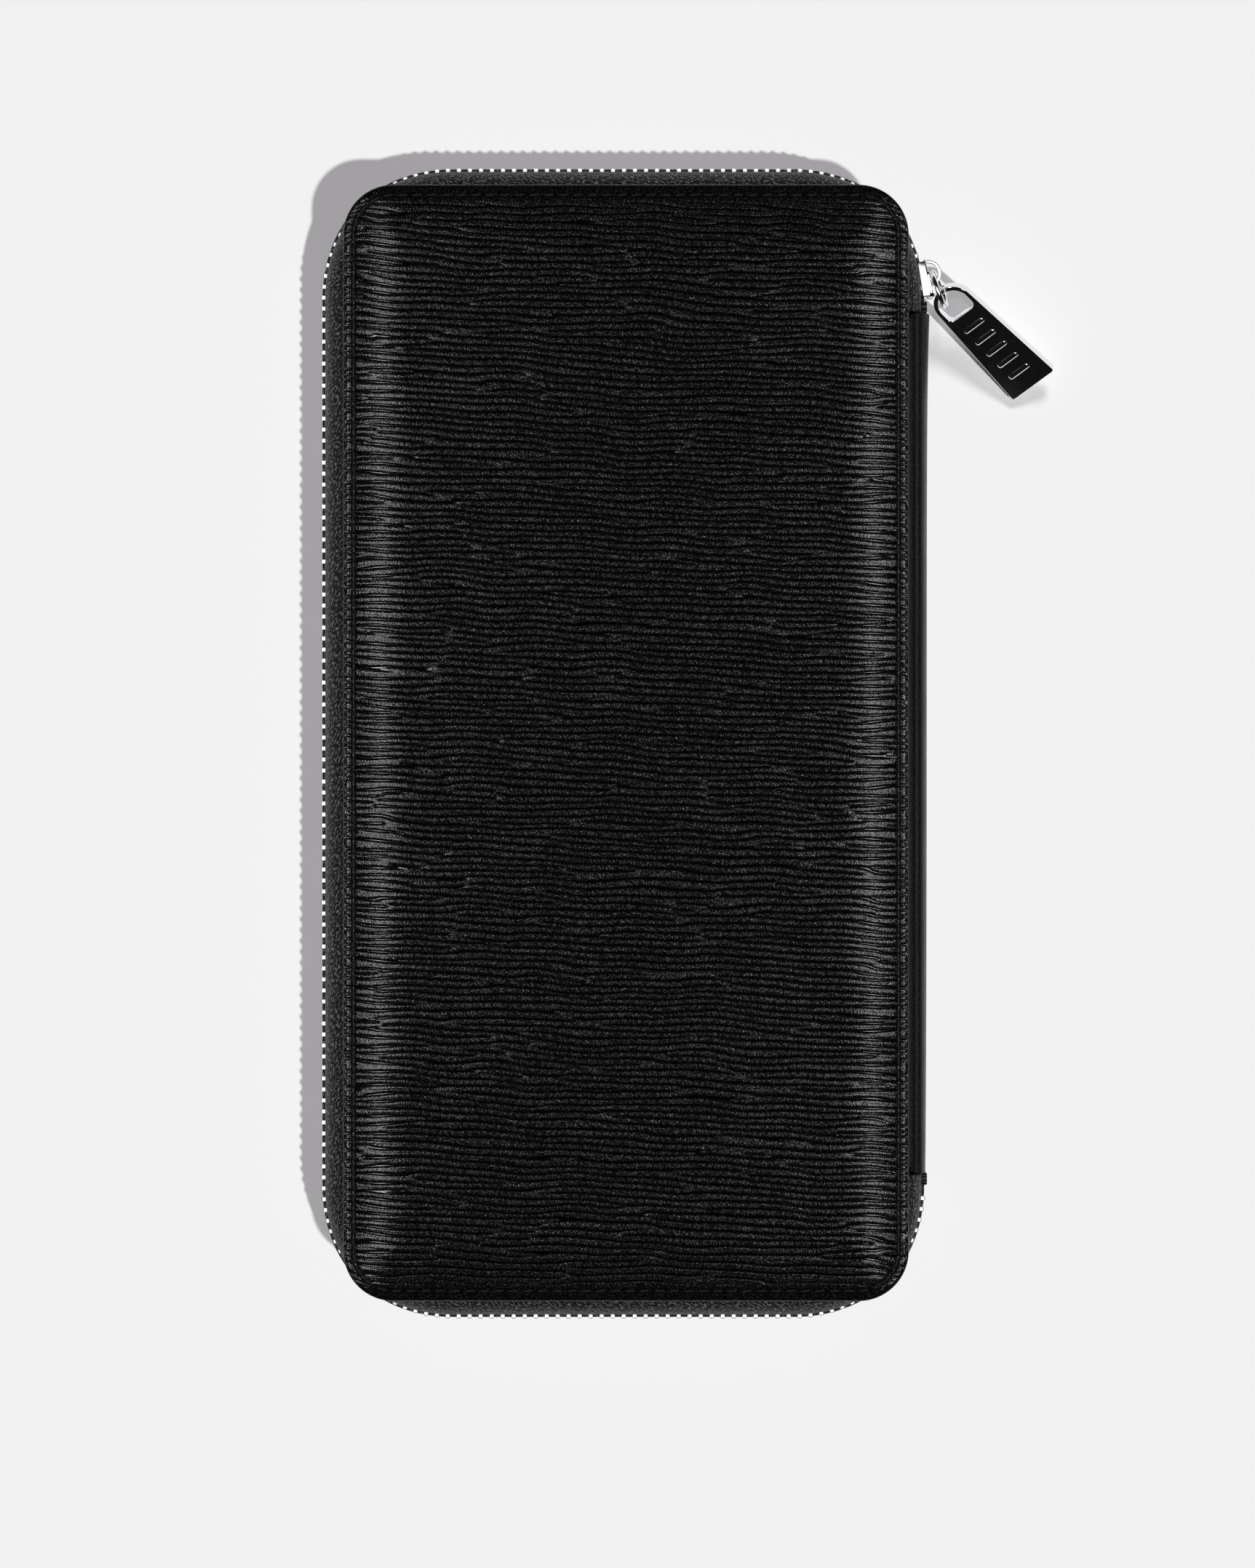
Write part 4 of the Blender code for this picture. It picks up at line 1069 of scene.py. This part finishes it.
def tape_shape(points, out):
    """The tape of the back half: flat out of its seam, curving up to the chain and on between its teeth."""
    seam = seam_points(points, out)
    bulge = CORNER_BULGE * (2 * out[:, 0] * out[:, 1]) ** 2
    end = points - out * (TAPE_INWARDS - bulge)[:, None]
    shares = np.linspace(0, 1, TAPE_COLUMNS)
    reach = 1 - (1 - shares) ** 2
    plane = seam[:, None, :] + (end - seam)[:, None, :] * reach[None, :, None]
    cord = end[:, None, :] + out[:, None, :] * CORD_OUTWARDS[None, :, None]
    plane = np.concatenate((plane, cord), axis=1)
    height = np.concatenate((SEAM_HEIGHT + (TAPE_TOP - SEAM_HEIGHT) * shares**2, TAPE_TOP + CORD_HEIGHTS))
    table = sheet_table(plane[..., 0], plane[..., 1], height)
    half = np.full(plane.shape[:2], TAPE_HALF)
    half[:, -3:-1] = CORD_HALF
    shape = thick_sheet(table, half[..., None], half[..., None])
    along = np.broadcast_to(distances_along(points)[:, None], plane.shape[:2])
    steps = np.linalg.norm(np.diff(table, axis=1), axis=2)
    across = np.concatenate((np.zeros((len(points), 1)), np.cumsum(steps, axis=1)), axis=1)
    uv = np.stack((along, across[:, -1:] - across), -1).reshape(-1, 2)
    return shape, np.vstack((uv, uv))


def tooth_shape():
    """One tooth of the back row: a clamp round the tape's edge, a neck and a rounded head above."""
    rings = []
    for height, half, inner, outer in TOOTH_SECTIONS:
        section = rounded_section(inner, outer, half, TOOTH_CORNER, 2)
        rings.append([(x, y, height) for y, x in section])
    return loft(np.array(rings) * MM + (0, 0, TAPE_TOP))


def teeth_shape(points, out, phase):
    """A row of teeth on the back half, spaced evenly along the chain from a starting phase."""
    lengths = distances_along(points)
    places = np.arange(phase, lengths[-1] - LAST_TOOTH, TEETH_PITCH)
    level = np.zeros(len(places))
    origins = np.column_stack((at_places(places, lengths, points), level))
    outward = np.column_stack((unit(at_places(places, lengths, out)), level))
    upward = np.broadcast_to((0.0, 0.0, 1.0), outward.shape)
    along = np.cross(outward, upward)
    return scatter(tooth_shape(), origins, np.stack((along, outward, upward), 1))


def make_tape(name, line, body, node, place=None):
    shape, uv = tape_shape(*line)
    return new_piece(name, place(shape) if place else shape, ZIP_CLOTH, body, node, uv=uv)


def make_teeth(name, shape, body, node, metal=TEETH_METAL):
    return new_piece(name, shape, metal, body, node, sharp=40)


def make_back_zip():
    make_tape("back_zip_tape_cloth", back_tape_line(), "back", "back_zip_tape")
    shape = teeth_shape(*chain_line(TEETH_START), BACK_TEETH_PHASE)
    make_teeth("back_zip_teeth_row", shape, "back", "back_zip_teeth")


def back_tape_line():
    """The whole chain's line with the straight stretches beside the spine."""
    points, out = chain_line(0.0)
    ends, ends_out = spine_stations()
    return one_line((ends, ends_out), (points, out), (ends[::-1] * MIRROR_Y, ends_out))


def blend_to_front(piece):
    """Bakes the piece's place into its points; it rides on no body."""
    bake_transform(piece)


def make_front_zip():
    """The front tape and teeth, held by the cover but for a loose stretch at each end of the spine."""
    make_tape("front_zip_tape_cloth", chain_line(LOOSE_END), "front", "front_zip_tape", on_front)
    loose = (LOOSE_END - TEETH_START) * ZIP_CORNER
    first_held = np.ceil((loose - FRONT_TEETH_PHASE) / TEETH_PITCH) * TEETH_PITCH + FRONT_TEETH_PHASE
    shape = teeth_shape(*chain_line(LOOSE_END), first_held - loose)
    make_teeth("front_zip_teeth_row", on_front(shape), "front", "front_zip_teeth")
    to_teeth = ZIP_CENTRE_Y - SPINE_HALF_Y - SPINE_GAP + TEETH_START * ZIP_CORNER
    for side, end in ((1, "upper"), (-1, "lower")):
        line = spine_end_line(side)
        node = f"front_tape_end_{end}"
        blend_to_front(make_tape(f"{node}_cloth", line, None, node, on_front))
        node = f"front_teeth_end_{end}"
        shape = teeth_shape(*line, to_teeth + FRONT_TEETH_PHASE)
        blend_to_front(make_teeth(f"{node}_row", on_front(shape), None, node))


def make_end_tabs():
    """The sewn cloth tabs that close the chain just past the spine's ends."""
    for node in ("zip_end_tab_upper", "zip_end_tab_lower"):
        low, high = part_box(node)
        middle = (low + high) / 2
        half = (high - low) / 2
        rings = []
        for share, swell in END_TAB_SWELLS:
            wide = half.x * swell
            section = rounded_section(-wide, wide, half.y * min(swell, 1.0), END_TAB_CORNER)
            rings.append([(middle.x + x, middle.y + y, middle.z + share * half.z) for x, y in section])
        shape = loft(rings)
        uv = np.column_stack((shape[0][:, 2], shape[0][:, 1]))
        new_piece(f"{node}_cloth", shape, ZIP_CLOTH, "back", node, uv=uv)


# ---- spine


def spine_section():
    """The spine across: (x, z) points from its lower root, out and round, to its upper root."""
    low = SPINE_LOW.z + SPINE_FOOT
    half = (THICKNESS - low - low) / 2
    root = SPINE_LOW.x + SPINE_SKIN
    reach = SPINE_HIGH.x - SPINE_SKIN - root
    points = []
    for step in range(SPINE_POINTS + 1):
        angle = math.pi * (step / SPINE_POINTS - 0.5)
        bulge = max(math.cos(angle), 0) ** SPINE_FLATNESS
        points.append((root + reach * bulge, low + half + half * math.sin(angle)))
    return np.array(points)


def make_spine():
    section = spine_section()
    y = np.linspace(-SPINE_HALF_Y, SPINE_HALF_Y, round(2 * SPINE_HALF_Y / SPINE_STEP) + 1)[:, None]
    flare = SPINE_FLARE[0] * np.exp((y - SPINE_HALF_Y) / SPINE_FLARE[1])
    flare -= SPINE_NARROWING[0] * np.exp(-(y + SPINE_HALF_Y) / SPINE_NARROWING[1])
    bulge = np.sin(np.linspace(0, math.pi, len(section)))
    table = sheet_table(section[:, 0] + flare * bulge, y, section[:, 1])
    around, along = np.broadcast_arrays(distances_along(section)[None, :], y)
    valleys = rib_valleys(rib_field(SPINE_SEED), around, along) * SPINE_RIBS
    end = SPINE_HALF_Y - np.abs(along)
    fold = ridge(end - SPINE_FOLD_AT, SPINE_FOLD_HALF)
    relief = SPINE_SWELL * slow_swell(around * 2, along, 3) - SPINE_RIB_DEPTH * valleys
    relief -= SPINE_FOLD_DEPTH * fold + SPINE_ROUNDING * ridge(end, SPINE_ROUNDING)
    shape = thick_sheet(table, SPINE_SKIN + relief[..., None], SPINE_INNER)
    spine = new_piece("spine_leather", shape, SPINE_LEATHER, "spine", "spine_cover")
    # The fold near each end adds painted shade to the rib valleys
    set_valley_shade(spine, valleys + fold * SPINE_RIBS)


def make_spine_lining():
    low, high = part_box("spine_lining")
    rows, columns = LINING_CELLS
    y = np.linspace(high.y, low.y, rows)[:, None]
    table = sheet_table((low.x + high.x) / 2, y, np.linspace(low.z, high.z, columns))
    swell = LINING_SWELL * np.sin(np.linspace(0, math.pi, columns))
    shape = thick_sheet(table, LINING_HALF + swell[:, None], LINING_HALF)
    new_piece("spine_lining_cloth", shape, LINING, "spine", "spine_lining", 40)


def make_fold_strips():
    """Smooth leather from under each cover's edge to the spine's root."""
    rows, columns = FOLD_CELLS
    places = np.linspace(0, len(FOLD_SECTION) - 1, columns)
    section = at_places(places, range(len(FOLD_SECTION)), FOLD_SECTION) * MM
    y = np.linspace(FOLD_SHORTER - SPINE_HALF_Y, SPINE_HALF_Y - FOLD_SHORTER, rows)[:, None]
    shape = thick_sheet(sheet_table(section[:, 0], y, section[:, 1]), FOLD_HALF, FOLD_HALF)
    back = new_piece("spine_fold_back_strip", shape, SPINE_LEATHER)
    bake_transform(back)
    front = new_piece("spine_fold_front_strip", on_front(shape), SPINE_LEATHER)
    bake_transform(front)


# ---- slider, ring and puller


def slider_matrix():
    """Along the chain is local X, outwards is local Y and down is local Z, from the chain's middle."""
    out = Vector((math.cos(SLIDER_ANGLE), math.sin(SLIDER_ANGLE), 0))
    along = Vector((-math.sin(SLIDER_ANGLE), math.cos(SLIDER_ANGLE), 0))
    centre = Vector((ZIP_CENTRE_X, ZIP_CENTRE_Y, MIDDLE)) + out * ZIP_CORNER
    turn = Matrix((along, out, along.cross(out))).transposed()
    return Matrix.Translation(centre) @ turn.to_4x4()


def bridge_outline():
    """An arch on two feet, as one closed line."""
    outer = arc((0, 0), (BRIDGE_HALF_LENGTH, BRIDGE_CLEAR + BRIDGE_BAR), 0, 180, 20)
    inner = arc((0, 0), (BRIDGE_HALF_LENGTH - BRIDGE_BAR, BRIDGE_CLEAR), 180, 0, 20)
    points = []
    for line in (outer, inner):
        points += [(line[0][0], -BRIDGE_FOOT), *line, (line[-1][0], -BRIDGE_FOOT)]
    return points


def slider_body():
    """A thick outer plate, a thin inner one, the web between them and a roof over each row of teeth."""
    parts = [
        lofted_sections(SLIDER_SCALE, 0.25),
        lofted_sections([(x, -1.9, -1.2, half) for x, half in INNER_PLATE], 0.25),
        lofted_sections([(x, -1.3, 1.0, 0.3) for x in (-3.5, -3.4, 3.4, 3.5)], 0.1),
    ]
    roof = lofted_sections([(x, -0.48, 1.0, half) for x, half in SLIDER_ROOF], 0.12)
    lip = lofted_sections([(x, -1.3, -0.8, 0.33) for x in (-3.3, -3.2, 3.1, 3.2)], 0.12)
    for height in (-SLIDER_ROOF_AT, SLIDER_ROOF_AT):
        parts.append(moved(joined(roof, lip), Matrix.Translation((0, 0, height))))
    return joined(*parts)


def make_slider():
    place = slider_matrix()
    at_face = place @ Matrix.Translation((BRIDGE_AT, SLIDER_FACE, 0))
    bridge = bevelled_plate([bridge_outline()], BRIDGE_HALF_WIDTH, BRIDGE_BEVEL, at_face)
    shape = joined(moved(slider_body(), place), bridge)
    new_piece("slider_metal", shape, METAL, "slider", "slider_body", 35, welded=True)


def make_ring(segments=96, sides=16):
    out = SLIDER_ANGLE - QUARTER + RING_SWING
    hang = Vector((math.cos(out), math.sin(out), 0))
    lean = Vector((-hang.y, hang.x, 0))
    up = Vector((0, 0, math.cos(RING_TILT))) - lean * math.sin(RING_TILT)
    axis = hang.cross(up)
    top = slider_matrix() @ Vector((BRIDGE_AT, SLIDER_FACE + BRIDGE_CLEAR / 2, 0))
    centre = top + hang * RING_RADIUS
    rings = []
    for k in range(segments):
        turn = math.tau * k / segments
        spoke = hang * math.cos(turn) + up * math.sin(turn)
        section = arc((RING_RADIUS, 0), (RING_WIRE, RING_WIRE), 0, 360, sides)[:-1]
        rings.append([centre + spoke * away + axis * aside for away, aside in section])
    shape = ring_of_tubes(rings)
    new_piece("puller_ring_wire", shape, METAL, "ring", "puller_ring", welded=True)


def puller_matrix():
    """Across the puller is local X, from its end to its arch is local Y, and out of its face is local Z."""
    heading = Vector((math.cos(PULLER_HEADING), math.sin(PULLER_HEADING), 0))
    across_flat = Vector((-heading.y, heading.x, 0))
    up = Vector((0, 0, 1))
    along = heading * math.cos(PULLER_SLOPE) - up * math.sin(PULLER_SLOPE)
    raised = heading * math.sin(PULLER_SLOPE) + up * math.cos(PULLER_SLOPE)
    across = across_flat * math.cos(PULLER_ROLL) + raised * math.sin(PULLER_ROLL)
    turn = Matrix((across, -along, across.cross(-along))).transposed()
    return Matrix.Translation(PULLER_TOP) @ turn.to_4x4()


def arched_outline(half_end, end, corner, corner_steps, half_top, top, arch, arch_steps):
    """A plate with an arched top and two rounded corners at its end."""
    size = (corner, corner)
    right = arc((half_end - corner, end + corner), size, -90, 0, corner_steps)
    over = arc((0, top - arch), (half_top, arch), 0, 180, arch_steps)
    left = arc((corner - half_end, end + corner), size, 180, 270, corner_steps)
    return right + over + left


def make_puller():
    """The tapered plate with its eye, and raised bars to grip it by."""
    place = puller_matrix()
    outline = arched_outline(
        PULLER_HALF_END, -PULLER_LENGTH, PULLER_CORNER, 3, PULLER_HALF_TOP, 0, PULLER_ARCH, 36)
    eye = arched_outline(
        EYE_HALF, -EYE_TO, EYE_CORNER, 8, EYE_HALF, -EYE_FROM, PULLER_ARCH - EYE_FROM, 30)
    plate = bevelled_plate([outline, eye], PULLER_THICKNESS / 2, PULLER_BEVEL, place)
    new_piece("zip_puller_plate", plate, METAL, "puller", "zip_puller", 35, welded=True)
    bars = []
    for k in range(GRIP_BARS):
        centre = Matrix.Translation((0, GRIP_START - GRIP_PITCH * k, PULLER_THICKNESS / 2 - GRIP_SINK))
        outline = round_rectangle(*GRIP_OUTLINE)
        bars.append(bevelled_plate([outline], GRIP_HALF_HEIGHT, GRIP_BEVEL, place @ centre))
    new_piece("puller_grip_bars", joined(*bars), METAL, "puller", sharp=35, welded=True)


# ---- inside the case


def half_turn(place):
    """Turns an upward-looking panel over, to look down at its place."""
    return Matrix.Translation(place) @ Matrix.Rotation(math.pi, 4, "Y")


def seam_dip(inset, at, depth, width=0.22 * MM):
    return -depth * ridge(inset - at, width)


def make_panel(node, body, look, kind, looks_up, corner, seam, depth, swell, seed, whole_seam=True):
    """A panel with soft edges and its stitches, in the place of a flat CAD one."""
    low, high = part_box(node)
    middle = (high + low) / 2
    half_x, half_y, half_z = (high - low) / 2
    outline = (half_x, half_y, corner)
    x, y = panel_grid(*outline, PANEL_STEP, PANEL_INSETS, max(6, round(half_x / PANEL_COLUMN)))
    inset = inset_of(x, y, *outline)
    height = half_z - PANEL_EDGE_DROP * ridge(inset, PANEL_EDGE_HALF)
    height += seam_dip(inset, seam, depth) + swell * slow_swell(x, y, seed)
    rims = [(0, 0.0), (0.05 * MM, -0.6 * half_z), (0.2 * MM, -half_z), (1.2 * MM, -half_z)]
    turn = Matrix.Translation(middle) if looks_up else half_turn(middle)
    shape = moved(closed_panel(x, y, height, outline, rims), turn)
    new_piece(f"{node}_{kind}", shape, look, body, node)
    on_top = half_z - 0.02 * MM
    if whole_seam:
        line = rounded_path(outline, seam, on_top, least_corner=0.8 * MM)
    else:
        reach = half_x - 2 * MM
        line = np.linspace((-reach, half_y - seam, on_top), (reach, half_y - seam, on_top), 60)
    shape = stitches(line, whole_seam, **SMALL_STITCH)
    new_piece(f"{node}_stitches", moved(shape, turn), THREAD, body)


def make_panels():
    """The linings, and the pockets and card slots on them."""
    for side in ("back", "front"):
        make_panel(f"{side}_lining", side, LINING, "cloth", side == "back", LINING_CORNER,
                   2.0 * MM, 0.12 * MM, 0.04 * MM, 21)
    for node in ("boarding_pass_pocket", "passport_pocket"):
        make_panel(node, "back", SMOOTH, "leather", True, 3 * MM, 1.6 * MM, 0.12 * MM, 0.05 * MM, 31)
    for number in range(1, 7):
        make_panel(f"card_slot_{number}", "front", SMOOTH, "leather", False, 1.5 * MM,
                   1.3 * MM, 0.08 * MM, 0.03 * MM, 40, whole_seam=False)


def make_coin_pocket():
    """A puffed leather pocket, open towards its own small zip."""
    low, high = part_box("coin_pocket_panel")
    half_x, half_y, half_z = (high - low) / 2
    outline = (half_x, half_y, COIN_CORNER)
    x, y = panel_grid(*outline, PANEL_STEP, COIN_INSETS, COIN_COLUMNS)
    inset = inset_of(x, y, *outline)
    at_zip = 1 - ramp(half_y - y, 0, COIN_MOUTH)
    side_rise = ramp(half_x - np.abs(x), *COIN_RAMP)
    puff = eased(np.maximum(ramp(inset, *COIN_RAMP), at_zip * side_rise))
    rise = 2 * half_z - 0.5 * MM + COIN_SWELL * slow_swell(x, y, 5)
    height = COIN_EDGE - half_z + puff * rise + seam_dip(inset, 0.8 * MM, 0.1 * MM)
    rims = [(0.05 * MM, 0.1 * MM - half_z), (0.3 * MM, -half_z), (1.5 * MM, -half_z)]
    turn = half_turn((high + low) / 2)
    shape = moved(closed_panel(x, y, height, outline, rims), turn)
    new_piece("coin_pocket_leather", shape, SMOOTH, "front", "coin_pocket_panel")
    seam_x = half_x - COIN_SEAM
    top_y = half_y - 8 * MM
    low_y = COIN_SEAM - half_y
    level = 0.32 * MM - half_z
    corners = ((-seam_x, top_y), (-seam_x, low_y), (seam_x, low_y), (seam_x, top_y))
    line = [(x, y, level) for x, y in corners]
    seam = moved(stitches(line, False, **SMALL_STITCH), turn)
    new_piece("coin_pocket_stitches", seam, THREAD, "front")


def coin_tape_section(side):
    """The coin tape across, as Y and Z: the upper one bends up onto the pocket, the lower one is flat."""
    low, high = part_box(f"coin_zip_tape_{'upper' if side > 0 else 'lower'}")
    if side < 0:
        return np.linspace(high.y, low.y, 8), np.full(8, COIN_PLANE)
    shares = np.linspace(0, 1, 14)
    rise = high.z - TAPE_HALF - COIN_PLANE
    return low.y + (high.y - low.y) * shares, COIN_PLANE + rise * eased(ramp(shares, 0.32, 0.34))


def make_coin_zip():
    x = np.linspace(-COIN_HALF_X, COIN_HALF_X, 94)[:, None]
    tooth = lofted_sections(COIN_TOOTH, 0.15)
    for side, name, shift in ((1, "upper", 0), (-1, "lower", COIN_TEETH_PITCH / 2)):
        y, z = coin_tape_section(side)
        across = distances_along(np.column_stack((y, z)))
        uv = np.stack(np.broadcast_arrays(x, across), -1).reshape(-1, 2)
        shape = thick_sheet(sheet_table(x, y, z), TAPE_HALF, TAPE_HALF)
        new_piece(f"coin_tape_{name}_cloth", shape, ZIP_CLOTH, "front", f"coin_zip_tape_{name}",
                  uv=np.vstack((uv, uv)), welded=True)
        places = np.arange(0.6 * MM - COIN_HALF_X + shift, COIN_HALF_X - LAST_TOOTH, COIN_TEETH_PITCH)
        origins = sheet_table(places, COIN_ZIP_Y - side * 0.25 * MM, COIN_PLANE)
        frames = np.broadcast_to(np.diag((1.0, side, side)), (len(places), 3, 3))
        make_teeth(f"coin_teeth_{name}_row", scatter(tooth, origins, frames), "front",
                   f"coin_zip_teeth_{name}", SATIN_METAL)


def make_pen_loop():
    """A ribbed elastic tube, open at both ends."""
    low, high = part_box("pen_loop")
    middle = (low + high) / 2
    radius = (high.x - low.x) / 2 - LOOP_INSET
    y = np.linspace(low.y, high.y, 60)
    angles = np.linspace(0, math.tau, 64, endpoint=False)
    rings = []
    for wall, along in ((LOOP_HALF_WALL, y), (-LOOP_HALF_WALL, y[::-1])):
        for place in along:
            size = radius + wall + LOOP_RIB_HEIGHT * math.sin(place / LOOP_RIB_LENGTH)
            ring = sheet_table(middle.x + size * np.cos(angles), place, middle.z + size * np.sin(angles))
            rings.append(ring)
    shape = ring_of_tubes(rings)
    uv = np.column_stack((shape[0][:, 1], np.tile(angles * radius, len(rings))))
    new_piece("pen_loop_elastic", shape, ELASTIC, "back", "pen_loop", 50, uv)


def dress_cad_nodes():
    """The hard pieces that keep their CAD shape get a finished material."""
    looks = {node: BOARD for node in ("back_board", "front_board")}
    looks.update({node: SATIN_METAL for node in COIN_METAL})
    for node, (material, slot) in looks.items():
        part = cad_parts[node]
        part.data.materials.clear()
        part.data.materials.append(material)


# ---- camera, floor and light


def make_camera():
    camera = bpy.data.objects.new("camera", bpy.data.cameras.new("camera"))
    camera.location = CAMERA_AT
    camera.data.lens = CAMERA_LENS
    camera.data.sensor_width = CAMERA_SENSOR
    bpy.context.scene.collection.objects.link(camera)
    bpy.context.scene.camera = camera


def make_floor():
    mesh = bpy.data.meshes.new("floor")
    corners = [(x * FLOOR_HALF, y * FLOOR_HALF, FLOOR_Z) for x, y in ((-1, -1), (1, -1), (1, 1), (-1, 1))]
    mesh.from_pydata(corners, [], [(0, 1, 2, 3)])
    mesh.materials.append(floor_paint("floor_paint"))
    floor = bpy.data.objects.new("floor", mesh)
    bpy.context.scene.collection.objects.link(floor)
    floor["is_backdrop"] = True
    return floor


def collected(name, objects):
    collection = bpy.data.collections.new(name)
    for thing in objects:
        collection.objects.link(thing)
    return collection


def new_light(name, kind, energy, direction, receivers):
    """A light that falls on its receivers alone."""
    data = bpy.data.lights.new(name, kind)
    data.energy = energy
    light = bpy.data.objects.new(name, data)
    light.rotation_mode = "QUATERNION"
    light.rotation_quaternion = direction.to_track_quat("-Z", "Y")
    light.light_linking.receiver_collection = collected(f"{name}_receivers", receivers)
    bpy.context.scene.collection.objects.link(light)
    return light


def new_sun(name, direction, strength, angle, colour, floor):
    sun = new_light(name, "SUN", strength, Vector(direction), [floor])
    sun.data.angle = math.radians(angle)
    sun.data.color = colour
    return sun


def new_softbox(name, place, size, power, receivers):
    light = new_light(name, "AREA", power, SOFTBOX_TARGET - Vector(place), receivers)
    light.location = place
    light.data.shape = "RECTANGLE"
    light.data.size, light.data.size_y = size
    light.visible_camera = False


def make_world():
    """A dim, low light, under a plain backdrop that only the camera sees."""
    world = bpy.data.worlds.new("studio")
    world.use_nodes = True
    tree = world.node_tree
    tree.nodes.clear()
    out = tree.nodes.new("ShaderNodeOutputWorld")
    direction = add_node(tree, "ShaderNodeTexCoord").outputs["Generated"]
    height = add_node(tree, "ShaderNodeSeparateXYZ", {0: direction}).outputs[2]
    low_light = remap(tree, height, 0.0, 0.35, 0.06, 0.006)
    dim = add_node(tree, "ShaderNodeBackground", {"Color": (1, 1, 1, 1), "Strength": low_light})
    seen = add_node(tree, "ShaderNodeBackground", {"Color": BACKDROP, "Strength": 1.0})
    ray = add_node(tree, "ShaderNodeLightPath").outputs["Is Camera Ray"]
    mix = add_node(tree, "ShaderNodeMixShader", {0: ray, 1: dim.outputs[0], 2: seen.outputs[0]})
    tree.links.new(mix.outputs[0], out.inputs[0])
    bpy.context.scene.world = world


def make_lights(floor):
    """Suns for the floor, a strip at each side for the leather, and a softbox above for the small metal."""
    pieces = {piece.name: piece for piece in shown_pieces()}
    new_sun("floor_wash", (0, 0, -1), 0.25, 5, WASH_COLOUR, floor)
    fill = new_sun("floor_fill", (-0.15, -0.75, -1), 1.5, 14, SUN_COLOUR, floor)
    new_sun("floor_key", (-1, 1, -3.0), 2.34, 2, SUN_COLOUR, floor)
    blockers = [pieces["zip_puller_plate"], pieces["puller_ring_wire"]]
    fill.light_linking.blocker_collection = collected("floor_fill_blockers", blockers)
    for side, name in ((-1, "left_strip"), (1, "right_strip")):
        new_softbox(name, (side * STRIP_AWAY, 0, STRIP_HEIGHT), STRIP_SIZE, STRIP_POWER, pieces.values())
    small_metal = [piece for name, piece in pieces.items() if name.endswith("_row")]
    small_metal += [pieces[name] for name in SMALL_METAL]
    new_softbox("metal_top", SOFTBOX_PLACE, SOFTBOX_SIZE, SOFTBOX_POWER, small_metal)


# ---- the whole case


make_camera()
make_cover("front", Matrix.Translation((0, 0, THICKNESS)))
make_cover("back", half_turn((0, 0, 0)))
make_back_zip()
make_front_zip()
make_end_tabs()
make_spine()
make_spine_lining()
make_fold_strips()
make_slider()
make_ring()
make_puller()
make_panels()
make_coin_pocket()
make_coin_zip()
make_pen_loop()
dress_cad_nodes()
make_world()
make_lights(make_floor())
bpy.context.scene.view_settings.view_transform = "Standard"
